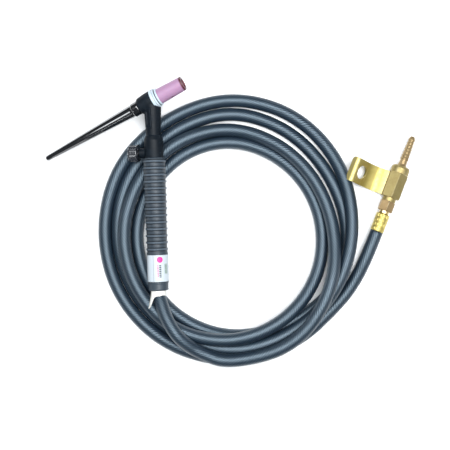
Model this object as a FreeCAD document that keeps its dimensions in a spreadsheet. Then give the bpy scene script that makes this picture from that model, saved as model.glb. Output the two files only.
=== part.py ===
"""Gas-valve TIG welding torch with its coiled power hose and the brass hose-end adapter.

Millimetres, +Z up. The floor is z = 0 and the origin lies under the middle of the torch.
The torch lies on the coil: its handle runs along +Y towards the head, rises a little towards
the head and is rolled until the tip of the long back cap rests on the floor.
"""

import FreeCAD, Part
import math
import os
import Sketcher

DIMENSIONS = [
    # the torch's place on the coil
    ("torch_x", 49.2, "handle front end, from the origin"),
    ("torch_y", 44.7, "handle front end, from the origin"),
    ("torch_height", 35.6, "handle axis at its front end, above the floor"),
    ("torch_yaw", 1.8, "degrees that the handle turns towards -X"),
    ("torch_pitch", 2.0, "degrees that the head is raised"),
    ("torch_roll", 13.2, "degrees that the back cap drops"),
    # head, along the nozzle axis
    ("head_reach", 70.0, "handle front end to the nozzle axis"),
    ("head_tilt", 25.0, "degrees of the nozzle axis above the handle's square"),
    ("head_dia", 23.8, "head cover at the gasket"),
    ("head_rear_dia", 21.6, "head cover at the back cap"),
    ("head_front", 1.5, "gasket face, from the handle axis"),
    ("head_rear", 18.2, "back cap face, from the handle axis"),
    ("core_dia", 17.0, "brass head core"),
    ("core_rear", 16.0, "rear end of the brass core, from the handle axis"),
    ("cap_bore", 12.1, "rear bore of the core, for the back cap"),
    ("body_bore", 10.0, "front bore of the core, for the collet body"),
    # gasket and nozzle
    ("gasket_dia", 24.4, "gasket outside"),
    ("gasket_step_dia", 21.6, "gasket lip outside"),
    ("gasket_ring", 6.0, "thick ring of the gasket"),
    ("gasket_lip", 3.0, "thin lip of the gasket"),
    ("gasket_floor", 1.3, "gasket floor behind the nozzle"),
    ("nozzle_base_dia", 18.9, "nozzle outside at the gasket"),
    ("nozzle_mouth_dia", 17.5, "nozzle outside at the mouth"),
    ("nozzle_mouth", 44.0, "nozzle mouth, from the handle axis"),
    ("nozzle_bore", 11.0, "gas bore of the nozzle"),
    ("nozzle_socket", 13.0, "rear socket of the nozzle"),
    ("nozzle_socket_depth", 15.5, "depth of the rear socket"),
    ("running_gap", 0.05, "radial clearance between turning pieces"),
    # collet body, collet and electrode
    ("collet_body_tip", 25.0, "front of the collet body, from the handle axis"),
    ("collet_body_tip_dia", 7.6, "front of the collet body"),
    ("collet_bore", 4.0, "bore of the collet body"),
    ("collet_rear", 26.0, "rear end of the collet, from the handle axis"),
    ("electrode_dia", 2.4, "tungsten electrode"),
    ("electrode_length", 150.0, "tungsten electrode"),
    ("electrode_setback", 3.0, "electrode tip behind the nozzle mouth"),
    # back cap
    ("cap_tip", 156.0, "back cap tip, from the handle axis"),
    ("cap_collar_dia", 17.2, "collar of the back cap"),
    ("cap_collar", 8.8, "length of the collar"),
    ("cap_taper_dia", 15.4, "taper at the collar"),
    ("cap_tip_dia", 6.4, "taper at the tip"),
    ("cap_nose", 10.6, "threaded nose of the back cap"),
    ("cap_flutes", 10, "flutes round the taper"),
    # neck and valve
    ("neck_dia", 17.6, "neck cover at the valve housing"),
    ("neck_top_dia", 21.6, "neck cover at the head"),
    ("neck_tube_dia", 8.0, "copper neck tube"),
    ("housing_length", 26.7, "valve housing along the handle axis"),
    ("housing_dia", 23.0, "valve housing"),
    ("valve_offset", 6.3, "valve axis, from the handle front end"),
    ("valve_body_dia", 17.0, "brass valve body"),
    ("valve_body_rear", 14.0, "valve body inside the handle"),
    ("boss_dia", 12.4, "side boss of the housing"),
    ("boss_reach", 17.6, "face of the boss, from the handle axis"),
    ("stem_bore", 5.1, "bore for the valve stem"),
    ("stem_dia", 5.0, "valve stem"),
    ("knob_dia", 19.6, "valve knob"),
    ("knob_near", 19.4, "near face of the knob, from the handle axis"),
    ("knob_length", 12.0, "knob along its axis"),
    ("knob_flange_dia", 21.6, "thin flange at the knob's near face"),
    ("knob_flange", 1.4, "that flange along the knob's axis"),
    # handle
    ("grip_length", 152.0, "ribbed grip and its plain tail"),
    ("grip_front_dia", 28.8, "ridges at the front"),
    ("grip_rear_dia", 26.6, "ridges at the last rib"),
    ("grip_tail_dia", 25.8, "plain tail"),
    ("rib_depth", 1.0, "height of a ridge over the lands"),
    ("rib_count", 14, "ridges"),
    ("rib_pitch", 8.25, "ridge to ridge"),
    ("rib_first", 4.2, "first ridge, from the handle front end"),
    ("rib_width", 2.2, "width of a ridge"),
    ("grip_bore", 20.8, "inside of the grip"),
    ("end_ring_dia", 25.0, "ring at the cable end of the handle"),
    ("end_ring_length", 10.0, "ring at the cable end of the handle"),
    ("label_start", 118.0, "label, from the handle front end"),
    ("label_length", 33.0, "label along the handle"),
    ("paper_thick", 0.3, "label and paper wrap"),
    ("wrap_length", 24.0, "torn paper wrap past the end ring"),
    ("wrap_flare_dia", 25.0, "torn paper wrap at its open end"),
    # hose
    ("hose_dia", 16.0, "rubber power hose"),
    ("hose_bore", 9.0, "inside of the hose at a nipple"),
    ("lead_start", 32.0, "hose end in the handle, from the handle front end"),
    ("lead_end", 190.0, "where the hose joins the coil, from the handle front end"),
    ("coil_x", 139.9, "middle of the coil's outline"),
    ("coil_y", -44.6, "middle of the coil's outline"),
    ("coil_half_x", 160.0, "half width of the coil"),
    ("coil_half_y", 170.0, "half depth of the coil"),
    ("hole_x", 142.9, "middle of the coil's open centre"),
    ("hole_y", -56.1, "middle of the coil's open centre"),
    ("hole_half_x", 106.0, "half width of the open centre"),
    ("hole_half_y", 112.0, "half depth of the open centre"),
    ("coil_low", 17.0, "top of the coil where one layer lies"),
    ("coil_high", 38.0, "top of the coil where the turns pile up"),
    ("coil_bed", 16.0, "depth of the coil's bed for the handle, below the handle axis"),
    ("coil_bed_width", 31.0, "width of that bed"),
    # hose-end adapter, along its own axis from the end of the hose
    ("adapter_x", 324.5, "end of the hose, from the origin"),
    ("adapter_y", -45.0, "end of the hose, from the origin"),
    ("adapter_height", 12.8, "axis of the adapter above the floor"),
    ("adapter_heading", 69.0, "degrees of the adapter's axis from +X"),
    ("ferrule_dia", 17.0, "crimped ferrule"),
    ("ferrule_length", 23.0, "crimped ferrule"),
    ("nipple_dia", 10.0, "hose nipple inside the ferrule"),
    ("nipple_neck_dia", 12.6, "neck between the ferrule and the nut"),
    ("nut_start", 27.0, "near face of the union nut"),
    ("nut_length", 13.0, "union nut"),
    ("nut_flats", 17.0, "union nut across its flats"),
    ("thread_dia", 13.0, "male thread of the adapter"),
    ("collar_dia", 16.6, "collar of the adapter"),
    ("hex_start", 45.0, "near face of the adapter's hexagon"),
    ("hex_length", 32.0, "adapter's hexagon"),
    ("hex_flats", 22.0, "adapter across its flats"),
    ("shoulder_length", 10.0, "turned shoulder of the adapter"),
    ("barb_root_dia", 10.6, "gas barb at the shoulder"),
    ("barb_tip_dia", 8.6, "gas barb at the tip"),
    ("barb_length", 39.0, "gas barb past the shoulder"),
    ("barb_bore", 4.4, "gas way through the barb"),
    ("lug_width", 30.5, "bracket along the adapter"),
    ("lug_thick", 2.5, "bracket plate"),
    ("lug_hole_dia", 17.0, "stud hole in the bracket"),
]

doc = FreeCAD.newDocument("tig_torch")
sheet = doc.addObject("Spreadsheet::Sheet", "dims")


class Size:
    """A length that knows its number and the text that binds it to the sheet."""

    def __init__(self, number, text):
        self.number = float(number)
        self.text = text

    def __add__(self, other):
        other = as_size(other)
        return Size(self.number + other.number, f"({self.text} + {other.text})")

    def __sub__(self, other):
        other = as_size(other)
        return Size(self.number - other.number, f"({self.text} - {other.text})")

    def __mul__(self, other):
        other = as_size(other)
        return Size(self.number * other.number, f"({self.text} * {other.text})")

    def __truediv__(self, other):
        other = as_size(other)
        return Size(self.number / other.number, f"({self.text} / {other.text})")


def as_size(value):
    """A plain number as a Size; a Size as it is."""
    return value if isinstance(value, Size) else Size(value, repr(float(value)))


def fill_sheet():
    """Writes every driving dimension into the sheet and returns them by name."""
    found = {}
    for row, (name, number, note) in enumerate(DIMENSIONS, start=1):
        sheet.set(f"A{row}", note)
        sheet.set(f"B{row}", str(number))
        sheet.setAlias(f"B{row}", name)
        found[name] = Size(number, f"dims.{name}")
    doc.recompute()
    return found


class Names:
    """The dimensions as attributes: d.hose_dia and so on."""

    def __init__(self, found):
        self.__dict__.update(found)


d = Names(fill_sheet())
nodes = []


def spin(x, y, z, degrees):
    """A rotation about the direction x, y, z."""
    return FreeCAD.Rotation(FreeCAD.Vector(x, y, z), degrees)


def at(x, y, z, turn=None):
    """A placement from plain numbers."""
    return FreeCAD.Placement(FreeCAD.Vector(x, y, z), turn or FreeCAD.Rotation())


# Frames. A turned piece is drawn about its own Z axis, from the back of that axis forwards.
TORCH = at(
    d.torch_x.number,
    d.torch_y.number,
    d.torch_height.number,
    spin(0, 0, 1, d.torch_yaw.number)
    * spin(1, 0, 0, d.torch_pitch.number)
    * spin(0, 1, 0, -d.torch_roll.number),
)
HANDLE_AXIS = spin(1, 0, 0, 90)
HEAD_AXIS = spin(0, 0, 1, d.head_tilt.number) * spin(0, 1, 0, 90)
VALVE_AXIS = spin(0, 1, 0, -90)
HEAD = at(0, d.head_reach.number, 0, HEAD_AXIS)
VALVE = at(0, d.valve_offset.number, 0, VALVE_AXIS)
HANDLE = at(0, 0, 0, HANDLE_AXIS)
ADAPTER = at(
    d.adapter_x.number,
    d.adapter_y.number,
    d.adapter_height.number,
    spin(0, 0, 1, d.adapter_heading.number) * spin(0, 1, 0, 90),
)


def shifted(frame, distance):
    """A frame moved along its own Z axis."""
    return frame * at(0, 0, distance)


def plane_of(body, role):
    """One of the origin planes of a body."""
    return [f for f in body.Origin.OriginFeatures if f.Role == role][0]


def new_sketch(body, role, offset=0.0):
    """A sketch on an origin plane of the body, lifted off it by offset."""
    sketch = body.newObject("Sketcher::SketchObject", body.Name + "_sketch")
    sketch.AttachmentSupport = [(plane_of(body, role), "")]
    sketch.MapMode = "FlatFace"
    if offset:
        sketch.AttachmentOffset = at(0, 0, offset)
    return sketch


def bind(sketch, kind, edge, value):
    """Holds the first point of an edge at a distance from the sketch's origin."""
    axis = {"DistanceX": -2, "DistanceY": -1}[kind]
    value = as_size(value)
    if value.number == 0:
        sketch.addConstraint(Sketcher.Constraint("PointOnObject", edge, 1, axis))
        return
    held = Sketcher.Constraint(kind, -1, 1, edge, 1, value.number)
    number = sketch.addConstraint(held)
    sketch.setExpression(f"Constraints[{number}]", value.text)


def draw_polygon(sketch, corners):
    """A closed outline whose every corner is bound to the sheet."""
    spots = [FreeCAD.Vector(as_size(x).number, as_size(y).number, 0) for x, y in corners]
    ring = spots + spots[:1]
    edges = [Part.LineSegment(a, b) for a, b in zip(ring, ring[1:])]
    sketch.addGeometry(edges, False)
    count = len(edges)
    for edge in range(count):
        after = (edge + 1) % count
        sketch.addConstraint(Sketcher.Constraint("Coincident", edge, 2, after, 1))
    for edge, (x, y) in enumerate(corners):
        bind(sketch, "DistanceX", edge, x)
        bind(sketch, "DistanceY", edge, y)


def draw_circle(sketch, x, y, radius):
    """A circle bound to the sheet by its centre and its radius."""
    middle = FreeCAD.Vector(as_size(x).number, as_size(y).number, 0)
    circle = Part.Circle(middle, FreeCAD.Vector(0, 0, 1), as_size(radius).number)
    edge = sketch.addGeometry(circle, False)
    for kind, value, axis in (("DistanceX", x, -2), ("DistanceY", y, -1)):
        value = as_size(value)
        if value.number == 0:
            sketch.addConstraint(Sketcher.Constraint("PointOnObject", edge, 3, axis))
            continue
        number = sketch.addConstraint(
            Sketcher.Constraint(kind, -1, 1, edge, 3, value.number)
        )
        sketch.setExpression(f"Constraints[{number}]", value.text)
    radius = as_size(radius)
    number = sketch.addConstraint(Sketcher.Constraint("Radius", edge, radius.number))
    sketch.setExpression(f"Constraints[{number}]", radius.text)


def new_body(label):
    """An empty PartDesign body."""
    body = doc.addObject("PartDesign::Body", label)
    body.Label = label
    return body


def revolve(body, outline, kind="PartDesign::Revolution"):
    """Turns an outline of (radius, height) corners about the body's Z axis."""
    sketch = new_sketch(body, "XZ_Plane")
    draw_polygon(sketch, outline)
    doc.recompute()
    feature = body.newObject(kind, body.Name + "_turned")
    feature.Profile = sketch
    feature.ReferenceAxis = (sketch, ["V_Axis"])
    feature.Angle = 360
    doc.recompute()
    return feature


def tube(inner, outer, start, end):
    """The outline of a plain sleeve."""
    return [(inner, start), (outer, start), (outer, end), (inner, end)]


def finish(node, frame):
    """Puts a finished sub-part in its place and lists it for writing."""
    node.Placement = frame
    nodes.append(node)
    return node


def turned(label, outline, frame):
    """A sub-part that is one turned piece."""
    body = new_body(label)
    revolve(body, outline)
    return finish(body, frame)


def around(body, feature, count):
    """Repeats a feature round the body's Z axis; count is a Size."""
    pattern = body.newObject("PartDesign::PolarPattern", body.Name + "_ring")
    pattern.Originals = [feature]
    pattern.Axis = (plane_axis(body), [""])
    pattern.Angle = 360
    pattern.Occurrences = int(count.number)
    pattern.setExpression("Occurrences", count.text)
    body.Tip = pattern
    doc.recompute()
    return pattern


def plane_axis(body):
    """The Z axis of a body's origin."""
    return [f for f in body.Origin.OriginFeatures if f.Role == "Z_Axis"][0]


def pocket(body, sketch, length, backwards=False):
    """Cuts a sketch out of the body and makes sure that it removed something."""
    before = body.Shape.Volume
    cut = body.newObject("PartDesign::Pocket", body.Name + "_cut")
    cut.Profile = sketch
    cut.Length = as_size(length).number
    cut.setExpression("Length", as_size(length).text)
    cut.Reversed = backwards
    doc.recompute()
    assert cut.Shape.Volume < before - 0.01, f"{body.Label}: the pocket cut nothing"
    return cut


def ring_shape(label, major, minor, frame):
    """An O-ring: its middle circle and its section are bound to the sheet."""
    ring = doc.addObject("Part::Torus", label)
    ring.Label = label
    ring.setExpression("Radius1", major.text)
    ring.setExpression("Radius2", minor.text)
    return finish(ring, frame)


def cylinder(name, radius, length, place):
    """A Part cylinder along the Z axis of its own place, as a tool for booleans."""
    tool = doc.addObject("Part::Cylinder", name)
    tool.setExpression("Radius", as_size(radius).text)
    tool.setExpression("Height", as_size(length).text)
    tool.Placement = place
    return tool


def cone(name, first, second, length, place):
    """A Part cone along the Z axis of its own place, as a tool for booleans."""
    tool = doc.addObject("Part::Cone", name)
    tool.setExpression("Radius1", as_size(first).text)
    tool.setExpression("Radius2", as_size(second).text)
    tool.setExpression("Height", as_size(length).text)
    tool.Placement = place
    return tool


def fused(name, pieces):
    """One solid from several."""
    joined = doc.addObject("Part::MultiFuse", name)
    joined.Shapes = pieces
    return joined


def cut_away(name, base, tools):
    """The base without the tools."""
    remove = tools[0] if len(tools) == 1 else fused(name + "_tools", tools)
    result = doc.addObject("Part::Cut", name)
    result.Base = base
    result.Tool = remove
    return result


def rounded_path(corners):
    """Straight runs joined by tangent arcs, each as large as its two runs allow.

    Returns the wire, its length and the radii of its arcs.
    """
    share = 0.45
    edges = []
    radii = []
    start = corners[0]
    for before, corner, after in zip(corners, corners[1:], corners[2:]):
        back = before - corner
        ahead = after - corner
        turn = math.pi - back.getAngle(ahead)
        setback = share * min(back.Length, ahead.Length)
        radii.append(setback / math.tan(turn / 2))
        first = corner + back.normalize() * setback
        last = corner + ahead.normalize() * setback
        inward = (first + last) * 0.5 - corner
        reach = radii[-1] / math.cos(turn / 2) - radii[-1]
        middle = corner + inward.normalize() * reach
        edges.append(Part.LineSegment(start, first).toShape())
        edges.append(Part.Arc(first, middle, last).toShape())
        start = last
    edges.append(Part.LineSegment(start, corners[-1]).toShape())
    wire = Part.Wire(edges)
    return wire, wire.Length, radii


def fluted(body, near, far, first, second, count):
    """Long tapering flutes: circles (centre, radius) at two heights joined and cut away."""
    before = body.Shape.Volume
    sketches = []
    for height, (middle, radius) in ((near, first), (far, second)):
        sketch = new_sketch(body, "XY_Plane", height.number)
        sketch.setExpression("AttachmentOffset.Base.z", height.text)
        draw_circle(sketch, middle, 0, radius)
        sketches.append(sketch)
    doc.recompute()
    flute = body.newObject("PartDesign::SubtractiveLoft", body.Name + "_flute")
    flute.Profile = sketches[0]
    flute.Sections = [sketches[1]]
    doc.recompute()
    around(body, flute, count)
    assert body.Shape.Volume < before - 1, f"{body.Label}: the flutes cut nothing"


def prism(name, sides, flats, start, length, turn, frame):
    """A regular prism across the flats, along Z, turned by some degrees."""
    body = new_body(name)
    sketch = new_sketch(body, "XY_Plane")
    corners = []
    for side in range(sides):
        angle = 2 * math.pi * side / sides + math.radians(turn)
        reach = flats / (2 * math.cos(math.pi / sides))
        corners.append((reach * math.cos(angle), reach * math.sin(angle)))
    draw_polygon(sketch, corners)
    doc.recompute()
    pad = body.newObject("PartDesign::Pad", name + "_pad")
    pad.Profile = sketch
    pad.Length = as_size(length).number
    pad.setExpression("Length", as_size(length).text)
    doc.recompute()
    body.Placement = shifted(frame, as_size(start).number)
    return body


def turned_tool(name, outline, frame):
    """A turned body that only serves a boolean."""
    body = new_body(name)
    revolve(body, outline)
    body.Placement = frame
    return body


def common(name, first, second):
    """What two solids share."""
    result = doc.addObject("Part::MultiCommon", name)
    result.Shapes = [first, second]
    return result


HERE = at(0, 0, 0)
UP_NECK = spin(1, 0, 0, -90)


def make_nozzle():
    """The ceramic gas nozzle, its socket turning on the collet body."""
    base = d.head_front + d.gasket_floor
    length = d.nozzle_mouth - base
    lip = d.gasket_ring + d.gasket_lip
    edge = 0.7
    outline = [
        (d.nozzle_socket / 2, 0),
        (d.nozzle_base_dia / 2 - edge, 0),
        (d.nozzle_base_dia / 2, edge),
        (d.nozzle_base_dia / 2, lip),
        (d.nozzle_mouth_dia / 2, length - edge),
        (d.nozzle_mouth_dia / 2 - edge, length),
        (d.nozzle_bore / 2 + edge, length),
        (d.nozzle_bore / 2, length - edge),
        (d.nozzle_bore / 2, d.nozzle_socket_depth),
        (d.nozzle_socket / 2, d.nozzle_socket_depth),
    ]
    turned("nozzle", outline, shifted(HEAD_IN_ROW, base.number))


def make_gasket():
    """The white heat shield between the head and the nozzle, with its thinner front lip."""
    seat = d.nozzle_base_dia / 2 + d.running_gap
    edge = 0.5
    outline = [
        (d.nozzle_socket / 2, 0),
        (d.gasket_dia / 2 - edge, 0),
        (d.gasket_dia / 2, edge),
        (d.gasket_dia / 2, d.gasket_ring - edge),
        (d.gasket_dia / 2 - edge, d.gasket_ring),
        (d.gasket_step_dia / 2, d.gasket_ring),
        (d.gasket_step_dia / 2, d.gasket_ring + d.gasket_lip - edge),
        (d.gasket_step_dia / 2 - edge, d.gasket_ring + d.gasket_lip),
        (seat, d.gasket_ring + d.gasket_lip),
        (seat, d.gasket_floor - d.running_gap),
        (d.nozzle_socket / 2, d.gasket_floor - d.running_gap),
    ]
    turned("cup_gasket", outline, shifted(HEAD_IN_ROW, d.head_front.number))


CORE_STEP = 7.0


def make_collet_body():
    """The collet body: shank in the head core, flange for the nozzle and coned front."""
    flange_end = 12.0
    seat = 3.0
    start = as_size(CORE_STEP)
    flange = d.nozzle_socket / 2 - d.running_gap
    tip = d.collet_body_tip + start
    outline = [
        (d.collet_bore / 2, 0),
        (d.body_bore / 2, 0),
        (d.body_bore / 2, start + d.head_front),
        (flange, start + d.head_front),
        (flange, start + flange_end),
        (d.collet_body_tip_dia / 2, tip - 1),
        (d.collet_body_tip_dia / 2 - 1, tip),
        (d.electrode_dia / 2 + d.running_gap * 2, tip),
        (d.electrode_dia / 2 + d.running_gap * 2, tip - seat + 1),
        (d.collet_bore / 2, tip - seat),
    ]
    turned("collet_body", outline, shifted(HEAD_IN_ROW, -CORE_STEP))


def make_collet():
    """The copper collet that grips the electrode."""
    front = d.collet_body_tip - 3.5
    outside = d.collet_bore / 2 - d.running_gap
    outline = tube(
        d.electrode_dia / 2 + d.running_gap, outside, 0, d.collet_rear + front
    )
    turned("collet", outline, shifted(HEAD_IN_ROW, -d.collet_rear.number))


def make_electrode():
    """The tungsten rod with its ground point, kept just inside the nozzle."""
    point = 5.0
    blunt = 0.2
    outline = [
        (0, 0),
        (d.electrode_dia / 2, 0),
        (d.electrode_dia / 2, d.electrode_length - point),
        (blunt, d.electrode_length),
        (0, d.electrode_length),
    ]
    rear = d.nozzle_mouth - d.electrode_setback - d.electrode_length
    turned("electrode", outline, shifted(HEAD_IN_ROW, rear.number))


def make_head_core():
    """The brass core of the head: rear bore for the back cap, front bore for the collet body."""
    step = d.core_rear - CORE_STEP
    end = d.core_rear + d.head_front
    outline = [
        (d.cap_bore / 2, 0),
        (d.core_dia / 2, 0),
        (d.core_dia / 2, end),
        (d.body_bore / 2, end),
        (d.body_bore / 2, step),
        (d.cap_bore / 2, step),
    ]
    turned("head_core", outline, shifted(HEAD_IN_ROW, -d.core_rear.number))


GROOVE_START = 5.4
GROOVE_WIDTH = 1.8
RING_MAJOR = 5.15
RING_MINOR = 0.85


def make_back_cap():
    """The long hollow back cap: threaded nose, sealing groove, collar and fluted taper."""
    nose = d.cap_bore / 2 - d.running_gap
    groove = RING_MAJOR - RING_MINOR - 0.05
    face = d.cap_nose + 0.1
    collar_end = d.cap_nose + d.cap_collar
    origin = d.head_rear - d.cap_nose
    end = d.cap_tip - origin
    wide_bore = 2.3
    wide_depth = 30.0
    rod_bore = d.electrode_dia / 2 + 0.4
    rod_depth = d.electrode_length + d.electrode_setback - d.nozzle_mouth - origin + 3
    edge = 0.8
    outline = [
        (wide_bore, 0),
        (nose, 0),
        (nose, GROOVE_START),
        (groove, GROOVE_START),
        (groove, GROOVE_START + GROOVE_WIDTH),
        (nose, GROOVE_START + GROOVE_WIDTH),
        (nose, face),
        (d.cap_collar_dia / 2 - edge, face),
        (d.cap_collar_dia / 2, face + edge),
        (d.cap_collar_dia / 2, collar_end - edge),
        (d.cap_taper_dia / 2, collar_end),
        (d.cap_tip_dia / 2, end - 2.2),
        (d.cap_tip_dia / 2 - 0.8, end - 0.7),
        (d.cap_tip_dia / 2 - 2.0, end),
        (0, end),
        (0, rod_depth),
        (rod_bore, rod_depth),
        (rod_bore, wide_depth),
        (wide_bore, wide_depth),
    ]
    body = new_body("back_cap")
    revolve(body, outline)
    near = collar_end + 1.6
    far = end - 6
    first = (d.cap_taper_dia / 2 + 1.1, as_size(1.8))
    second = (d.cap_tip_dia / 2 + 0.75, as_size(0.95))
    fluted(body, near, far, first, second, d.cap_flutes)
    finish(body, CAP_IN_ROW)


def make_cap_ring():
    """The back cap's sealing ring."""
    middle = GROOVE_START + GROOVE_WIDTH / 2
    frame = shifted(CAP_IN_ROW, middle)
    ring_shape("back_cap_o_ring", as_size(RING_MAJOR), as_size(RING_MINOR), frame)


def make_neck_tube():
    """The copper tube that carries gas and current from the valve body to the head core."""
    start = 16.0
    wall = 1.2
    reach = d.head_reach - start - 5
    place = at(0, start, 0, UP_NECK)
    outer = cylinder("neck_tube_outer", d.neck_tube_dia / 2, reach, place)
    inner = cylinder("neck_tube_inner", d.neck_tube_dia / 2 - wall, reach, place)
    hole = core_space("neck_tube_core")
    node = cut_away("neck_tube", outer, [inner, hole])
    node.Label = "neck_tube"
    finish(node, TORCH)


def core_space(name):
    """The room that the head core takes, as a tool."""
    return cylinder(
        name,
        d.core_dia / 2,
        d.core_rear + d.head_front + 1,
        shifted(HEAD, -d.core_rear.number),
    )


def make_head_cover():
    """The moulded head and neck: barrel, tapered neck and the raised strip with its recess."""
    length = d.head_rear + d.head_front
    front = d.head_dia / 2
    rear = d.head_rear_dia / 2
    barrel = turned_tool(
        "head_barrel",
        [
            (0, 0),
            (rear - 3.2, 0),
            (rear - 1.0, 0.9),
            (rear, 3.2),
            (front, length - 6),
            (front, length - 0.6),
            (front - 0.6, length),
            (0, length),
        ],
        shifted(HEAD, -d.head_rear.number),
    )
    neck_length = d.head_reach - d.housing_length - 5
    neck = cone(
        "neck_taper",
        d.neck_dia / 2,
        d.neck_top_dia / 2,
        neck_length,
        at(0, d.housing_length.number, 0, UP_NECK),
    )
    slope = math.degrees(
        math.atan((d.neck_top_dia.number - d.neck_dia.number) / 2 / neck_length.number)
    )
    turn = spin(0, 1, 0, -16) * spin(1, 0, 0, slope)
    strip = doc.addObject("Part::Box", "neck_strip")
    strip_size = (7.4, 24.0, 3.0)
    strip.Length, strip.Width, strip.Height = strip_size
    low = d.neck_dia.number / 2 - 1.6
    strip.Placement = at(0, 36.5, 0, turn) * at(-strip_size[0] / 2, 0, low)
    recess = doc.addObject("Part::Box", "neck_recess")
    recess_size = (4.2, 17.0, 2.0)
    recess.Length, recess.Width, recess.Height = recess_size
    recess.Placement = at(0, 39.5, 0, turn) * at(-recess_size[0] / 2, 0, low + 2.3)
    mouth = cylinder(
        "cap_opening", d.cap_bore / 2 + 0.35, 4, shifted(HEAD, -d.head_rear.number - 1)
    )
    gasket_room = cylinder(
        "gasket_room", d.gasket_dia / 2 + 0.1, 14, shifted(HEAD, d.head_front.number)
    )
    tube_room = cylinder(
        "tube_room", d.neck_tube_dia / 2, d.head_reach, at(0, 0, 0, UP_NECK)
    )
    shell = fused("head_and_neck", [barrel, neck, strip])
    node = cut_away(
        "head_cover",
        shell,
        [recess, mouth, gasket_room, core_space("core_room"), tube_room],
    )
    node.Label = "head_cover"
    finish(node, TORCH)


BODY_TOP = 23.0
SIDE_REACH = 14.5
SIDE_DIA = 9.2


def valve_body_outside(name):
    """The outer shape of the brass valve body: a barrel with a side arm."""
    barrel = cylinder(
        name + "_barrel",
        d.valve_body_dia / 2,
        d.valve_body_rear + BODY_TOP,
        at(0, -d.valve_body_rear.number, 0, UP_NECK),
    )
    arm = cylinder(name + "_arm", SIDE_DIA / 2, SIDE_REACH, VALVE)
    return fused(name + "_outside", [barrel, arm])


def make_valve_body():
    """The brass valve body, bored for the gas, the neck tube and the stem."""
    gas = cylinder("valve_gas_way", 2.5, 60, at(0, -20, 0, UP_NECK))
    socket = cylinder("valve_tube_socket", d.neck_tube_dia / 2, 20, at(0, 16, 0, UP_NECK))
    stem = cylinder("valve_stem_bore", d.stem_bore / 2, 20, shifted(VALVE, 4))
    node = cut_away("valve_body", valve_body_outside("valve_body"), [gas, socket, stem])
    node.Label = "valve_body"
    finish(node, TORCH)


def make_housing():
    """The moulded valve housing with its side boss."""
    shoulder = 5.0
    barrel = cylinder(
        "housing_barrel",
        d.housing_dia / 2,
        d.housing_length - shoulder,
        at(0, 0, 0, UP_NECK),
    )
    top = cone(
        "housing_top",
        d.housing_dia / 2,
        d.neck_dia / 2 + 1.0,
        shoulder,
        at(0, d.housing_length.number - shoulder, 0, UP_NECK),
    )
    boss = cylinder("housing_boss", d.boss_dia / 2, d.boss_reach, VALVE)
    mouth = cylinder("boss_mouth", SIDE_DIA / 2, d.boss_reach + 2, VALVE)
    tube_room = cylinder(
        "housing_tube_room", d.neck_tube_dia / 2, 40, at(0, 0, 0, UP_NECK)
    )
    shell = fused("housing_shell", [barrel, top, boss])
    tools = [valve_body_outside("housing_room"), mouth, tube_room]
    node = cut_away("valve_housing", shell, tools)
    node.Label = "valve_housing"
    finish(node, TORCH)


STEM_START = 4.5
STEM_LENGTH = 22.9
SEAL_MIDDLE = 10.0
SEAL_MAJOR = 2.075
SEAL_MINOR = 0.425


def make_valve():
    """Gland nut, stem, its seal, the fluted knob and the knob's screw."""
    gland_end = 19.0
    turned(
        "gland_nut",
        tube(d.stem_bore / 2, SIDE_DIA / 2, SIDE_REACH, gland_end),
        VALVE_IN_ROW,
    )
    radius = d.stem_dia / 2
    groove = SEAL_MAJOR - SEAL_MINOR - 0.05
    seal = SEAL_MIDDLE - STEM_START
    screw_bore = 1.25
    outline = [
        (0, 0),
        (0.6, 0),
        (radius, 3.0),
        (radius, seal - 0.5),
        (groove, seal - 0.5),
        (groove, seal + 0.5),
        (radius, seal + 0.5),
        (radius, STEM_LENGTH),
        (screw_bore, STEM_LENGTH),
        (screw_bore, STEM_LENGTH - 4.4),
        (0, STEM_LENGTH - 4.4),
    ]
    turned("valve_stem", outline, shifted(VALVE_IN_ROW, STEM_START))
    seal_frame = shifted(VALVE_IN_ROW, SEAL_MIDDLE)
    ring_shape("stem_o_ring", as_size(SEAL_MAJOR), as_size(SEAL_MINOR), seal_frame)
    make_knob(screw_bore)


def make_knob(screw_bore):
    """The fluted knob on the stem and the screw that holds it."""
    seat = STEM_START + STEM_LENGTH - d.knob_near.number
    edge = 1.0
    sink = 1.6
    head = 3.1
    rim = d.knob_dia / 2
    body = new_body("valve_knob")
    revolve(
        body,
        [
            (d.stem_dia / 2, 0),
            (d.knob_flange_dia / 2, 0),
            (d.knob_flange_dia / 2, d.knob_flange),
            (rim, d.knob_flange),
            (rim, d.knob_length - edge),
            (rim - edge, d.knob_length),
            (head, d.knob_length),
            (head, d.knob_length - sink),
            (screw_bore, d.knob_length - sink),
            (screw_bore, seat),
            (d.stem_dia / 2, seat),
        ],
    )
    sketch = new_sketch(body, "XY_Plane", d.knob_flange.number)
    draw_circle(sketch, rim + 0.7, 0, as_size(1.7))
    doc.recompute()
    cut = pocket(body, sketch, d.knob_length, True)
    around(body, cut, as_size(12))
    finish(body, shifted(VALVE_IN_ROW, d.knob_near.number))
    screw_start = d.knob_near.number + seat - 4.2
    reach = d.knob_length.number - sink - seat + 4.2
    turned(
        "knob_screw",
        [
            (0, 0),
            (screw_bore, 0),
            (screw_bore, reach),
            (head, reach),
            (head, reach + 0.9),
            (head - 0.6, reach + 1.4),
            (0, reach + 1.4),
        ],
        shifted(VALVE_IN_ROW, screw_start),
    )


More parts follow.
